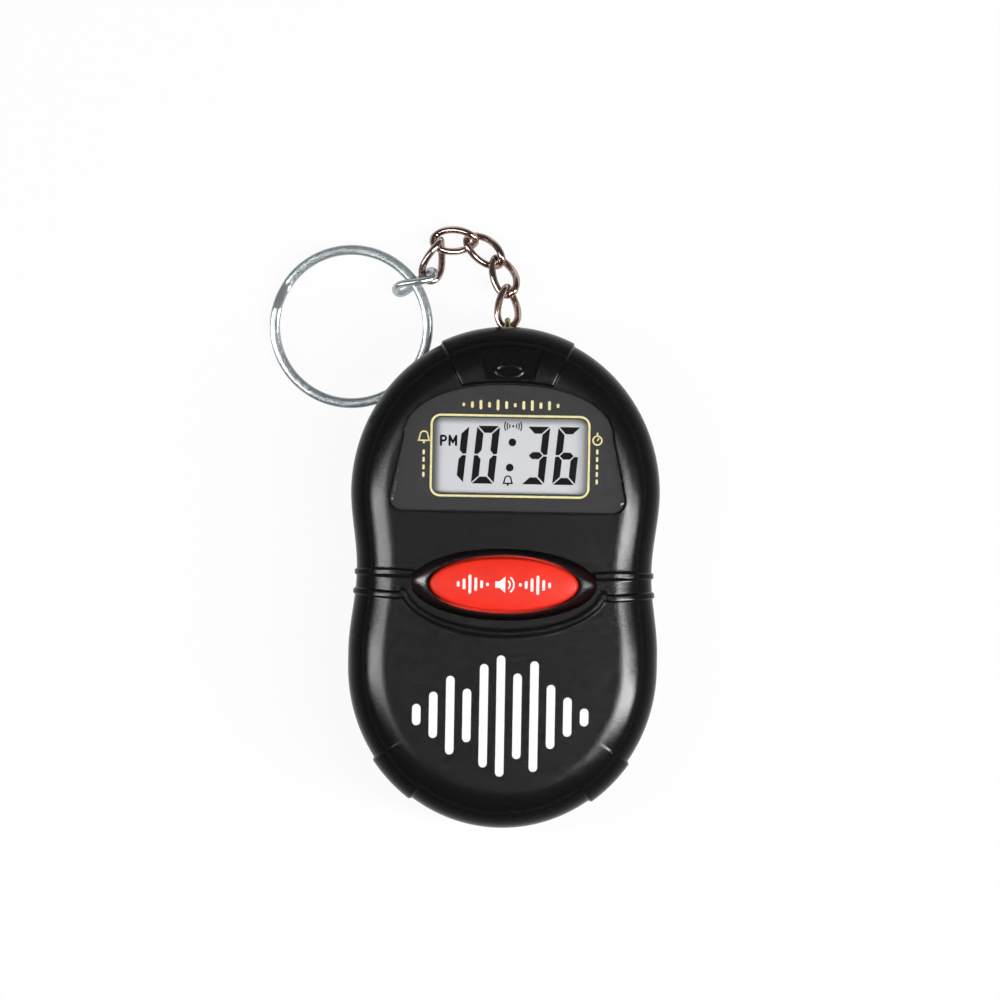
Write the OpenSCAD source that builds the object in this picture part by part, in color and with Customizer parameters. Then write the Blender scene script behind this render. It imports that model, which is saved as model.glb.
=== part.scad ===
// Talking key-ring clock, lying on its back, with its face up and its chain at the top.
// Millimetres. The origin is at the middle of the back, +Y points to the chain, +Z out of the face.

/* [Case] */
// Length of the case, from the bottom to the chain end
case_length = 70.4; // [66:0.1:76]
// Width of the case across each lobe
case_width = 43.4; // [42:0.1:48]
// Thickness from the back to the face
case_thick = 17; // [16.6:0.1:19]
// Height of the parting line above the back
parting_z = 8.5; // [8.2:0.1:8.9]
// How far each side is drawn in at the waist
waist_depth = 1; // [0.4:0.1:2]
// Width of the rolled edge seen from the front
front_roll = 5.5; // [4.8:0.1:6]
// Width of the rolled edge seen from the back
back_roll = 9.5; // [9:0.1:10]
// Thickness of the moulded walls
wall = 1.6; // [1.4:0.1:1.8]
// Thickness of the back plate
back_wall = 1.8; // [1.7:0.05:1.95]
// Height of the grip bands above the edge
band_raise = 0.4; // [0.2:0.05:0.6]
// Height of the waist beads
bead_raise = 0.3; // [0.15:0.05:0.5]
// Width of the waist beads
bead_w = 0.8; // [0.6:0.05:1]

/* [Display] */
// Sideways place of the lens
lens_x = 0.3; // [-0.5:0.1:0.6]
// Width of the face beside the lens, both sides together
lens_room = 10.5; // [10:0.1:12.4]
// Height of the lens
lens_height = 17.7; // [17.2:0.1:18.2]
// Thickness of the lens
lens_thick = 1.1; // [0.9:0.05:1.2]
// Thickness of the printed film behind the lens
film_thick = 0.2; // [0.1:0.05:0.3]
// Width of the printed film beside the window, both sides together
film_side = 11.3; // [10.9:0.1:14.9]
// Height of the display window
window_h = 10.6; // [9:0.1:11.2]
// How far the display glass reaches behind the film on each side
glass_lap = 1.45; // [0.9:0.05:1.6]
// Height of the display glass
glass_h = 13.5; // [12.8:0.1:13.8]
// Thickness of the display glass
glass_thick = 2; // [1.6:0.1:2.2]

/* [Talk button] */
// Length of the button
button_length = 20.8; // [19:0.1:21.4]
// Width of the button
button_width = 7.5; // [6.8:0.1:8]
// How far the crown of the button stands above the face
button_proud = 0.3; // [0.1:0.05:0.6]
// Travel of the button
button_travel = 0.6; // [0.4:0.05:0.7]
// Gap round the button
button_gap = 0.35; // [0.2:0.05:0.45]
// Width of the dish round the button at its ends
dish_width = 2.25; // [1.6:0.05:2.6]
// Depth of the dish
dish_depth = 1.1; // [0.7:0.05:1.3]

/* [Power and sound] */
// Diameter of a button cell
cell_d = 11.6; // [11.2:0.1:11.8]
// Thickness of a button cell
cell_thick = 5.4; // [5.2:0.1:5.45]
// Diameter of the battery cap
cap_d = 16; // [15.8:0.1:16.4]
// Diameter of the speaker
speaker_d = 20; // [18:0.1:20.6]
// Height of the speaker
speaker_thick = 5.6; // [5:0.1:6.2]
// Diameter of a sound hole
hole_d = 1.3; // [1:0.05:1.5]
// Distance between the sound holes
hole_pitch = 2.6; // [2.3:0.05:2.8]
// Thickness of the circuit board
board_thick = 1; // [0.8:0.1:1.2]
// Diameter of the case screws
screw_d = 2; // [1.8:0.1:2.2]
// Diameter of the rear keys
key_d = 3.4; // [3:0.1:3.8]
// Travel of the rear keys
key_travel = 0.4; // [0.2:0.05:0.45]

/* [Chain] */
// Wire of the chain links
link_wire = 1; // [0.8:0.05:1]
// Length of a link over its wire
link_length = 7; // [6.9:0.05:7.1]
// Width of a link over its wire
link_width = 4.1; // [4:0.05:4.2]
// Twist of a link from its middle to each end, in degrees
link_twist = 40; // [38:1:42]
// Wire of the anchor loop
anchor_wire = 0.8; // [0.7:0.05:0.85]
// Outer diameter of the split ring
ring_d = 23; // [22.8:0.1:23.1]
// Width of the ring's wire, seen from above
ring_wire_w = 1.4; // [1.2:0.05:1.45]
// Thickness of one turn of the ring
ring_wire_t = 0.8; // [0.7:0.02:0.82]

/* [Hidden] */

// Case outline: two elliptical lobes that meet in a shallow cosine waist
half_length = case_length / 2;
upper_length = half_length - band_raise;
lobe_half = case_width / 2;
upper_y = upper_length - 23.1;
lower_y = 22.6 - half_length;
waist_y = 0.8;
waist_reach = 11.5;
edge_z = parting_z + 1;
face_z = case_thick;
front_power = 2.2;
roll_steps = 7;
face_ring = 8.7;

function lobe(y, mid, reach) = lobe_half * sqrt(max(0, 1 - pow((y - mid) / reach, 2)));
function waist(y) = abs(y - waist_y) < waist_reach
    ? waist_depth * (1 + cos(180 * (y - waist_y) / waist_reach)) / 2 : 0;
function half_width(y) =
    y > upper_y ? lobe(y, upper_y, upper_length - upper_y)
    : y < lower_y ? lobe(y, lower_y, half_length + lower_y)
    : lobe_half - waist(y);
function edge_y(a) = (sin(a) > 0 ? upper_length : half_length) * sin(a);
function edge_point(a) = [(cos(a) < 0 ? -1 : 1) * half_width(edge_y(a)), edge_y(a)];
function edge_normal(a) =
    let (t = edge_point(a + 1) - edge_point(a - 1)) [t.y, -t.x] / norm(t);
function inset_point(a, d) = edge_point(a) - edge_normal(a) * d;
function at_height(points, z) = [for (p = points) [p.x, p.y, z]];

// Angles of the grip bands and of the waist beads along the outline
top_band_edge = 69.5;
low_band_start = -62;
low_band_end = -46.7;
upper_bead_y = 0.5;
lower_bead_y = -2.2;
step_a = 0.3;
function bead_edge(y) = asin(y / (y > 0 ? upper_length : half_length));
function steps(from, to, n) = [for (i = [1 : n - 1]) from + (to - from) * i / n];
function pair(a) = [a - step_a / 2, a + step_a / 2];
right_angles = concat(
    [-90], steps(-90, low_band_start, 5),
    pair(low_band_start), steps(low_band_start, low_band_end, 3), pair(low_band_end),
    steps(low_band_end, bead_edge(lower_bead_y - bead_w / 2), 8),
    pair(bead_edge(lower_bead_y - bead_w / 2)), pair(bead_edge(lower_bead_y + bead_w / 2)),
    pair(bead_edge(upper_bead_y - bead_w / 2)), pair(bead_edge(upper_bead_y + bead_w / 2)),
    steps(bead_edge(upper_bead_y + bead_w / 2), top_band_edge, 12),
    pair(top_band_edge), steps(top_band_edge, 90, 4));
left_angles = [for (i = [len(right_angles) - 1 : -1 : 1]) 180 - right_angles[i]];
edge_angles = concat(right_angles, [90], left_angles);
plain_angles = [for (i = [0 : 59]) i * 6];

// What an angle of the outline carries: a band, a bead or nothing
function folded(a) = a > 90 ? 180 - a : a;
function on_top_band(a) = folded(a) > top_band_edge;
function on_low_band(a) = folded(a) > low_band_start && folded(a) < low_band_end;
function on_bead(a, y) = abs(edge_y(a) - y) < bead_w / 2 && abs(folded(a)) < 30;
upper_bead_end = 8.4;
lower_bead_end = 7;
function front_raise(a, d, rise) =
    on_top_band(a) ? band_raise
    : on_low_band(a) ? band_raise * (1 - rise * rise)
    : on_bead(a, upper_bead_y) && d <= upper_bead_end ? bead_raise
    : on_bead(a, lower_bead_y) && d <= lower_bead_end ? bead_raise : 0;
function back_raise(a, rise) =
    (on_top_band(a) || on_low_band(a) ? band_raise
    : on_bead(a, upper_bead_y) || on_bead(a, lower_bead_y) ? bead_raise : 0) * (1 - rise);

function front_point(a, d, z, out, up) =
    let (p = inset_point(a, d - front_raise(a, d, up) * out))
    [p.x, p.y, z + front_raise(a, d, up) * up];
function front_ring(t) =
    let (c = cos(t), s = sin(t))
    [for (a = edge_angles) front_point(a, front_roll * (1 - pow(c, 2 / front_power)),
        edge_z + (face_z - edge_z) * pow(s, 2 / front_power), c, s)];
function face_points(d) = [for (a = edge_angles) front_point(a, d, face_z, 0, 1)];
function back_ring(t) =
    [for (a = edge_angles) let (p = inset_point(a, back_roll * (1 - cos(t)) - back_raise(a, sin(t))))
        [p.x, p.y, parting_z * (1 - sin(t))]];
function back_inset(z) = back_roll * (1 - sqrt(1 - pow((parting_z - z) / parting_z, 2)));

// A closed skin over rings of equal length, with a flat floor and a fan to a top point
module skin(rings, top) {
    n = len(rings[0]);
    last = len(rings) - 1;
    polyhedron(
        points = concat([for (r = rings) each r], [top]),
        faces = concat(
            [[for (i = [0 : n - 1]) i]],
            [for (k = [0 : last - 1], i = [0 : n - 1]) let (j = (i + 1) % n)
                [k * n + i, (k + 1) * n + i, (k + 1) * n + j]],
            [for (k = [0 : last - 1], i = [0 : n - 1]) let (j = (i + 1) % n)
                [k * n + i, (k + 1) * n + j, k * n + j]],
            [for (i = [0 : n - 1]) [last * n + i, (last + 1) * n, last * n + (i + 1) % n]]));
}

// A prism that follows the case outline at an inset
module outline_prism(d, z0, z1) {
    translate([0, 0, z0])
        linear_extrude(z1 - z0)
            polygon([for (a = plain_angles) inset_point(a, d)]);
}

// An ellipse as points
function ellipse(rx, ry, n = 48) = [for (i = [0 : n - 1]) [rx * cos(i * 360 / n), ry * sin(i * 360 / n)]];

// Fits and seats inside the case
cover_wall = 2.3;
lens_width = case_width - lens_room;
window_w = lens_width - film_side;
glass_w = window_w + 2 * glass_lap;
ceiling_z = face_z - cover_wall;
lens_floor_z = face_z - lens_thick - film_thick;
lens_gap = 0.3;
board_top_z = ceiling_z - 4.5;
board_z = board_top_z - board_thick;
screw_seat_z = 4.6;
screw_clear = 0.15;
thread_clear = 0.03;
head_d = 3.6;
head_h = 1.3;
boss_r = 2.4;
rear_boss_r = 3;
cap_y = 0.1 - half_length / 2;
board_edge = cap_y + 9;
upper_screw = [8.5, upper_length - 6.8];
lower_screw = [lobe_half - 9.2, 13.2 - half_length];
board_screw = [lobe_half - 6.4, 2.5];
board_screw_d = 1.5;
post_r = 1.7;
display_x = 0.55;
display_y = upper_length - 17.8;
lens_bottom_y = display_y - 7.75;
shoulder_y = display_y + 2.5;
lens_corner = 1.7;
shoulder_lean = 1.8;
lens_power = 2.2;

// Lens outline, grown or shrunk by d: round lower corners, leaning sides and an arched top
function lens_half(d) =
    let (w = lens_width / 2 + d, r = lens_corner + d, top = lens_bottom_y + lens_height + d)
    concat(
        [for (i = [0 : 4]) let (t = -90 + i * 90 / 4)
            [w - r + r * cos(t), lens_bottom_y - d + r + r * sin(t)]],
        [for (i = [0 : 10]) let (t = i * 9)
            [(w - shoulder_lean) * pow(cos(t), 2 / lens_power),
            shoulder_y + (top - shoulder_y) * pow(sin(t), 2 / lens_power)]]);
function lens_points(d) =
    let (h = lens_half(d), n = len(h))
    concat([for (p = h) [lens_x + p.x, p.y]],
        [for (i = [n - 2 : -1 : 0]) [lens_x - h[i].x, h[i].y]]);

button_y = -1;
button_rx = button_length / 2;
button_ry = button_width / 2;
hole_rx = button_rx + button_gap;
hole_ry = button_ry + button_gap;
dish_side = 0.38;
swoosh_rx = 14.25;
swoosh_ry = 6.86;
swoosh_start = asin((lower_bead_y - button_y) / swoosh_ry);

// Dish round the button: a bowl from the face down to the edge of the hole
module dish_cut() {
    rings = [for (i = [0 : 5]) let (t = 90 - i * 18, e = 0.2 + dish_width * cos(t))
        at_height(ellipse(hole_rx + e - 0.15, hole_ry + 0.1 + (e - 0.2) * dish_side),
            face_z - dish_depth * sin(t) + (i == 5 ? 0.01 : 0))];
    lid = at_height(ellipse(hole_rx + dish_width + 0.3, hole_ry + 0.2 + dish_width * dish_side),
        face_z + 1);
    translate([0, button_y, 0]) {
        skin(concat(rings, [lid]), [0, 0, face_z + 1]);
        translate([0, 0, ceiling_z - 1])
            linear_extrude(cover_wall + 1)
                polygon(ellipse(hole_rx, hole_ry));
    }
}

// Raised line that leaves the lower bead and swings under the button
module swoosh() {
    n = 22;
    arc = [for (i = [0 : n]) 180 - swoosh_start + i * (180 + 2 * swoosh_start) / n];
    translate([0, button_y, face_z - 0.4])
        linear_extrude(0.4 + bead_raise)
            polygon(concat(
                [for (t = arc) [(swoosh_rx + bead_w / 2) * cos(t), (swoosh_ry + bead_w / 2) * sin(t)]],
                [for (i = [n : -1 : 0]) [(swoosh_rx - bead_w / 2) * cos(arc[i]),
                    (swoosh_ry - bead_w / 2) * sin(arc[i])]]));
}

// Sunk panel in the top band: its floor slopes from the edge of the case up to the face
panel_x = 0.45;
panel_top_y = upper_length - 2.5;
panel_low_y = upper_length - 7.1;
panel_top_half = 4.5;
panel_low_half = 3.4;
panel_deep = 1.35;
function panel_z(y, lift) = face_z + band_raise + lift
    - panel_deep * (y - panel_low_y) / (panel_top_y - panel_low_y);
function panel_ring(lift, flat) = [for (p = [[-panel_low_half, panel_low_y],
        [panel_low_half, panel_low_y], [panel_top_half, panel_top_y - 0.25],
        [0, panel_top_y + 0.25], [-panel_top_half, panel_top_y - 0.25]])
    [panel_x + p.x, p.y, flat ? face_z + 2 : panel_z(p.y, lift)]];
module panel_cut() {
    skin([panel_ring(0, false), panel_ring(0, true)], [panel_x, panel_low_y + 2.3, face_z + 2]);
}
// Bell moulded on the floor of the panel
module bell_mark() {
    intersection() {
        translate([panel_x, panel_low_y + 0.9, face_z - 3])
            linear_extrude(4)
                polygon(concat(
                    [[-2.1, 0.3], [-1.75, 0], [1.75, 0], [2.1, 0.3], [1.35, 1.1]],
                    [for (i = [0 : 8]) let (t = i * 22.5) [1.15 * cos(t), 1.9 + 1.15 * sin(t)]],
                    [[-1.35, 1.1]]));
        skin([panel_ring(-0.3, false), panel_ring(0.25, false)],
            [panel_x, panel_low_y + 2.3, panel_z(panel_low_y + 2.3, 0.25)]);
    }
}

module at_screws() {
    for (p = [upper_screw, lower_screw], side = [-1, 1])
        translate([side * p.x, p.y, 0])
            children();
}
module at_board_screws() {
    for (side = [-1, 1])
        translate([side * board_screw.x, board_screw.y, 0])
            children();
}

// Blocks that trim a cover flat at the parting line
module below_parting() {
    translate([-case_width, -case_length, parting_z - case_thick])
        cube([2 * case_width, 2 * case_length, case_thick]);
}
module above_parting() {
    translate([-case_width, -case_length, parting_z])
        cube([2 * case_width, 2 * case_length, case_thick]);
}

module front_cover() {
    skirt = [at_height([for (a = edge_angles) inset_point(a, -front_raise(a, 0, 0))], parting_z - 1)];
    color("#1b1b1c")
        difference() {
            union() {
                difference() {
                    union() {
                        skin(concat(skirt, [for (i = [0 : roll_steps]) front_ring(i * 90 / roll_steps)],
                            [face_points(lower_bead_end), face_points(lower_bead_end + 0.15),
                            face_points(upper_bead_end), face_points(face_ring)]),
                            [display_x, display_y, face_z]);
                        swoosh();
                    }
                    panel_cut();
                }
                bell_mark();
            }
            below_parting();
            difference() {
                union() {
                    outline_prism(wall + 0.6, parting_z - 2, ceiling_z - wall + 0.1);
                    outline_prism(wall + 2.4, ceiling_z - wall, ceiling_z);
                }
                at_screws()
                    translate([0, 0, parting_z])
                        cylinder(r = boss_r, h = face_z - parting_z, $fn = 32);
                at_board_screws()
                    translate([0, 0, board_top_z])
                        cylinder(r = post_r, h = face_z - board_top_z, $fn = 32);
            }
            at_screws()
                translate([0, 0, parting_z - 1])
                    cylinder(d = screw_d + 2 * thread_clear, h = 5.4, $fn = 32);
            at_board_screws()
                translate([0, 0, board_top_z - 1])
                    cylinder(d = board_screw_d + 2 * thread_clear, h = 4, $fn = 32);
            translate([0, 0, lens_floor_z])
                linear_extrude(3)
                    polygon(lens_points(lens_gap));
            translate([display_x - window_w / 2 - 0.3, display_y - window_h / 2 - 0.3, ceiling_z - 1])
                cube([window_w + 0.6, window_h + 0.6, cover_wall + 1]);
            dish_cut();
        }
}

// Battery well, battery cap and its bayonet in the back plate
cap_clear = 0.2;
cap_seat_z = 1.45;
ledge_z = 1.95;
lug_top_z = 2.7;
skirt_r = cell_d / 2 + 0.9;
lug_r = skirt_r + 0.9;
lug_half = 22;
cap_turn = 50;
cell_z = 3;
well_r = cell_d / 2 + 0.2;
well_wall = 1;
well_top_z = cell_z + 2 * cell_thick - 1.2;
speaker_y = upper_length - 22.3;
speaker_clear = 0.2;
key_x = lobe_half - 12.7;
key_y = -3.5;
key_clear = 0.2;
anchor_x = -0.13;
anchor_z = 5.4;
anchor_bow_r = 1.3;
anchor_reach = 1.75;
anchor_y = upper_length + anchor_reach - anchor_wire / 2 - anchor_bow_r;
notch_half = 2.9;
notch_y = upper_length - 1.2;
anchor_block_y = upper_length - 3.5;

module sound_holes() {
    for (ring = [0 : 2], i = [0 : max(0, ring * 6 - 1)])
        rotate(ring == 0 ? 0 : i * 60 / ring)
            translate([ring * hole_pitch, 0, -1])
                cylinder(d = hole_d, h = back_wall + 2, $fn = 24);
}

// Cuts for the cap: its seat, the hole with two entry notches, and the room where the lugs turn
module cap_cuts() {
    translate([0, 0, -1])
        cylinder(d = cap_d + 2 * cap_clear, h = cap_seat_z + 1, $fn = 64);
    cylinder(r = skirt_r + cap_clear, h = ledge_z + 0.5, $fn = 64);
    intersection() {
        cylinder(r = lug_r + cap_clear, h = ledge_z + 0.5, $fn = 64);
        for (side = [0, 180])
            rotate(side + cap_turn)
                linear_extrude(ledge_z + 0.5)
                    polygon([[0, 0], [2 * lug_r, -2 * lug_r * tan(lug_half + 3)],
                        [2 * lug_r, 2 * lug_r * tan(lug_half + 3)]]);
    }
    translate([0, 0, ledge_z])
        cylinder(r = lug_r + cap_clear, h = cell_z - ledge_z, $fn = 64);
    cylinder(r = well_r, h = well_top_z + 1, $fn = 64);
}

module rear_cover() {
    lip_z = parting_z + 0.8;
    color("#1a1a1b")
        difference() {
            union() {
                difference() {
                    skin(concat([for (i = [0 : roll_steps]) back_ring(90 - i * 90 / roll_steps)],
                        [at_height(back_ring(0), parting_z + 1)]), [0, 0, parting_z + 1]);
                    above_parting();
                    difference() {
                        union() {
                            outline_prism(back_inset(back_wall) + wall, back_wall, 3.6);
                            outline_prism(back_inset(3.5) + wall, 3.5, 5.6);
                            outline_prism(back_inset(5.5) + wall, 5.5, parting_z + 2);
                        }
                        at_screws()
                            cylinder(r = rear_boss_r, h = parting_z, $fn = 32);
                        translate([anchor_x - 2.6, anchor_block_y, 0])
                            cube([5.2, 5, parting_z]);
                        translate([0, cap_y, 0])
                            cylinder(r = lug_r + 1.1, h = cell_z + 0.8, $fn = 64);
                        translate([0, cap_y, 0])
                            cylinder(r = well_r + well_wall, h = parting_z + 2, $fn = 64);
                        translate([0, speaker_y, 0])
                            difference() {
                                cylinder(d = speaker_d + 2 * speaker_clear + 1.6, h = 4.4, $fn = 64);
                                cylinder(d = speaker_d + 2 * speaker_clear, h = 5, $fn = 64);
                            }
                    }
                }
                translate([0, cap_y, parting_z - 1])
                    cylinder(r = well_r + well_wall, h = well_top_z - parting_z + 1, $fn = 64);
                difference() {
                    outline_prism(wall + 0.7, parting_z - 0.4, lip_z);
                    outline_prism(wall + 1.5, parting_z - 1, lip_z + 1);
                    at_screws()
                        cylinder(r = boss_r + 0.2, h = face_z, $fn = 32);
                }
            }
            at_screws() {
                translate([0, 0, -1])
                    cylinder(d = head_d + 0.4, h = screw_seat_z + 1, $fn = 32);
                cylinder(d = screw_d + 2 * screw_clear, h = parting_z + 1, $fn = 32);
            }
            translate([0, cap_y, 0])
                cap_cuts();
            translate([-1.4, cap_y + well_r - 0.5, cell_z])
                cube([2.8, well_wall + 1, well_top_z]);
            translate([0, speaker_y, 0])
                sound_holes();
            for (side = [-1, 1])
                translate([side * key_x, key_y, -1])
                    cylinder(d = key_d + 2 * key_clear, h = back_wall + 2, $fn = 32);
            translate([anchor_x - notch_half, notch_y, 2.2])
                cube([2 * notch_half, 3, parting_z]);
            for (side = [-1, 1])
                translate([anchor_x, anchor_block_y - 1, anchor_z + side * anchor_bow_r])
                    rotate([-90, 0, 0])
                        cylinder(d = anchor_wire + 0.06, h = 5, $fn = 24);
        }
}

module case_screws() {
    color("#b9bcc0")
        at_screws()
            difference() {
                union() {
                    translate([0, 0, screw_seat_z - head_h])
                        cylinder(d = head_d, h = head_h, $fn = 32);
                    translate([0, 0, screw_seat_z - 0.1])
                        cylinder(d = screw_d, h = 8.1, $fn = 32);
                }
                for (turn = [0, 90])
                    rotate(turn)
                        translate([-1.1, -0.2, screw_seat_z - head_h - 0.1])
                            cube([2.2, 0.4, 0.8]);
            }
}

module display_lens() {
    bevel = 0.35;
    color("#20242a", 0.6)
        skin([at_height(lens_points(0), lens_floor_z + film_thick),
            at_height(lens_points(0), face_z - bevel - 0.05),
            at_height(lens_points(-bevel), face_z - 0.05)],
            [lens_x, display_y, face_z - 0.05]);
}

module display_film() {
    color("#101012")
        translate([0, 0, lens_floor_z])
            linear_extrude(film_thick)
                difference() {
                    polygon(lens_points(0));
                    translate([display_x - window_w / 2, display_y - window_h / 2])
                        square([window_w, window_h]);
                }
}

module display_glass() {
    ledge = 1.1;
    rear_glass = glass_thick * 0.55;
    color("#c3cbd0")
        union() {
            translate([display_x - glass_w / 2, display_y - glass_h / 2, ceiling_z - glass_thick])
                cube([glass_w, glass_h, rear_glass]);
            translate([display_x - glass_w / 2, display_y - glass_h / 2 + ledge, ceiling_z - glass_thick])
                cube([glass_w, glass_h - ledge, glass_thick]);
        }
}

module display_frame() {
    fit = 0.15;
    frame_wall = 0.7;
    color("#d8d8d2")
        intersection() {
            difference() {
                translate([display_x - glass_w / 2 - frame_wall, display_y - glass_h / 2 - frame_wall,
                        board_top_z])
                    cube([glass_w + 2 * frame_wall, glass_h + 2 * frame_wall, ceiling_z - board_top_z - 0.1]);
                translate([display_x - glass_w / 2 - fit, display_y - glass_h / 2 - fit, board_top_z - 1])
                    cube([glass_w + 2 * fit, glass_h + 2 * fit, 8]);
            }
            outline_prism(wall + 2.7, 0, face_z);
        }
}

module contact_strips() {
    strip_w = 1.6;
    color("#e08a8a")
        for (side = [-1, 1])
            translate([display_x - glass_w / 2 + 1, display_y + side * (glass_h / 2 - strip_w / 2 - 0.2)
                    - strip_w / 2, board_top_z])
                cube([glass_w - 2, strip_w, ceiling_z - glass_thick - board_top_z]);
}

module circuit_board() {
    color("#2f7d43")
        difference() {
            intersection() {
                outline_prism(wall + 2, board_z, board_top_z);
                translate([-case_width, board_edge, 0])
                    cube([2 * case_width, case_length, face_z]);
            }
            at_screws()
                cylinder(r = boss_r + 0.3, h = face_z, $fn = 32);
            at_board_screws()
                cylinder(d = board_screw_d + 0.3, h = face_z, $fn = 32);
        }
}

module chip_cover() {
    color("#161618")
        translate([0, -2, board_z])
            rotate([180, 0, 0])
                intersection() {
                    cylinder(r = 3.6, h = 1.3, $fn = 48);
                    translate([0, 0, -5.2])
                        sphere(r = 6.4, $fn = 64);
                }
}

module timing_crystal() {
    color("#c9ccd0")
        translate([key_x + 3.3, -3, board_z - 1.05])
            rotate([-90, 0, 0])
                union() {
                    cylinder(d = 2, h = 6, $fn = 32);
                    translate([0, 0, 5.9])
                        cylinder(d = 1.6, h = 0.4, $fn = 32);
                }
}

// Small parts soldered to the board: a storage capacitor, resistors and the driver transistor
module board_parts() {
    capacitor = [-key_x - 4.8, 3, 3.4];
    chips = [[3.4 - key_x, -6, 1.2], [key_x - 3.4, -6, 1.2], [key_x + 4.5, 7, 1.6], [key_x + 3, -6.6, 1.2]];
    color("#8c6b3f") {
        translate([capacitor.x, -1.5, board_z - capacitor.z])
            cylinder(d = capacitor.y, h = capacitor.z, $fn = 32);
        for (c = chips)
            translate([c.x - c.z, c.y - 0.6, board_z - 0.7])
                cube([2 * c.z, 1.2, 0.7]);
    }
}

module board_screws() {
    head = 0.9;
    color("#b9bcc0")
        at_board_screws()
            difference() {
                union() {
                    translate([0, 0, board_z - head])
                        cylinder(d = 2.8, h = head, $fn = 32);
                    translate([0, 0, board_z - 0.1])
                        cylinder(d = board_screw_d, h = board_thick + 2.8, $fn = 32);
                }
                for (turn = [0, 90])
                    rotate(turn)
                        translate([-0.8, -0.15, board_z - head - 0.1])
                            cube([1.6, 0.3, 0.5]);
            }
}

dome_h = button_travel + 0.2;
flange = 0.95;
flange_h = 0.7;
flange_gap = 0.1;
module talk_button() {
    rim_z = face_z + button_proud - 0.75;
    flange_z = ceiling_z - flange_gap - flange_h;
    crown = [for (i = [0 : 3]) let (t = i * 30, e = 0.55 * (1 - cos(t)))
        at_height(ellipse(button_rx - e, button_ry - e), rim_z + 0.5 * sin(t))];
    color("#e5231f")
        translate([0, button_y, 0])
            union() {
                skin(concat([at_height(ellipse(button_rx, button_ry), flange_z + 0.1)], crown,
                    [at_height(ellipse(button_rx * 0.6, button_ry * 0.55), rim_z + 0.7)]),
                    [0, 0, face_z + button_proud]);
                translate([0, 0, flange_z])
                    linear_extrude(flange_h)
                        polygon(ellipse(button_rx + flange, button_ry + flange));
                translate([0, 0, board_top_z + dome_h + 0.05])
                    cylinder(r = 1.6, h = flange_z - board_top_z - dome_h, $fn = 32);
            }
}

module talk_dome() {
    color("#cfd2d6")
        translate([0, button_y, board_top_z])
            rotate_extrude($fn = 48)
                polygon([[0, dome_h - 0.15], [1.2, dome_h - 0.15], [2.3, 0.05], [2.3, 0], [3, 0],
                    [3, 0.15], [2.5, 0.15], [1.4, dome_h], [0, dome_h]]);
}

module battery_cap() {
    slot_w = 1.4;
    color("#202022")
        translate([0, cap_y, 0])
            difference() {
                union() {
                    translate([0, 0, 0.15])
                        cylinder(d = cap_d, h = cap_seat_z - 0.2, $fn = 64);
                    cylinder(r = skirt_r, h = cell_z - 0.05, $fn = 64);
                    intersection() {
                        translate([0, 0, ledge_z + 0.05])
                            cylinder(r = lug_r, h = lug_top_z - ledge_z - 0.05, $fn = 64);
                        for (side = [0, 180])
                            rotate(side)
                                linear_extrude(cell_z)
                                    polygon([[0, 0], [2 * lug_r, -2 * lug_r * tan(lug_half)],
                                        [2 * lug_r, 2 * lug_r * tan(lug_half)]]);
                    }
                }
                translate([0, 0, -1])
                    cylinder(r = skirt_r + 1, h = 1.15, $fn = 64);
                translate([-cell_d / 2 + 0.6, -slot_w / 2, -1])
                    cube([cell_d - 1.2, slot_w, 1.9]);
                translate([0, 0, 2.2])
                    difference() {
                        cylinder(r = cell_d / 2 - 0.6, h = 2, $fn = 64);
                        cylinder(r = 2, h = 2, $fn = 32);
                    }
            }
}

module cap_gasket() {
    color("#2b2b2b")
        translate([0, cap_y, 2.2])
            difference() {
                cylinder(r = cell_d / 2 - 0.65, h = 0.75, $fn = 48);
                translate([0, 0, -1])
                    cylinder(r = cell_d / 2 - 1.6, h = 3, $fn = 48);
            }
}

module cell(z) {
    rim = 0.3;
    color("#d3d6da")
        translate([0, cap_y, z])
            rotate_extrude($fn = 64)
                polygon([[0, 0], [cell_d / 2 - rim, 0], [cell_d / 2, rim], [cell_d / 2, cell_thick - 1],
                    [cell_d / 2 - 0.5, cell_thick - 0.6], [cell_d / 2 - 0.9, cell_thick - 0.6],
                    [cell_d / 2 - 1.1, cell_thick], [0, cell_thick]]);
}
module cell_lower() {
    cell(cell_z);
}
module cell_upper() {
    cell(cell_z + cell_thick);
}

// Leaf over the upper cell, bent down to the board
module contact_top() {
    leaf = 0.3;
    top_z = cell_z + 2 * cell_thick;
    foot_y = board_edge + 0.6;
    color("#d9c27a")
        union() {
            translate([-1.5, cap_y - 3, ceiling_z - leaf])
                cube([3, foot_y + leaf - cap_y + 3, leaf]);
            translate([0, cap_y, top_z])
                cylinder(r = 1.2, h = ceiling_z - top_z, $fn = 32);
            translate([-1.5, foot_y, board_top_z])
                cube([3, leaf, ceiling_z - board_top_z]);
        }
}

// Strip in the slot of the battery well, from the side of the lower cell to the board
module contact_side() {
    leaf = 0.3;
    strip_y = cap_y + cell_d / 2 + 0.05;
    color("#d9c27a")
        union() {
            translate([-1.1, strip_y, cell_z + 0.4])
                cube([2.2, leaf, board_z - cell_z - 0.4]);
            translate([-1.1, strip_y, board_z - leaf])
                cube([2.2, board_edge + 1.2 - strip_y, leaf]);
        }
}

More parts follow.
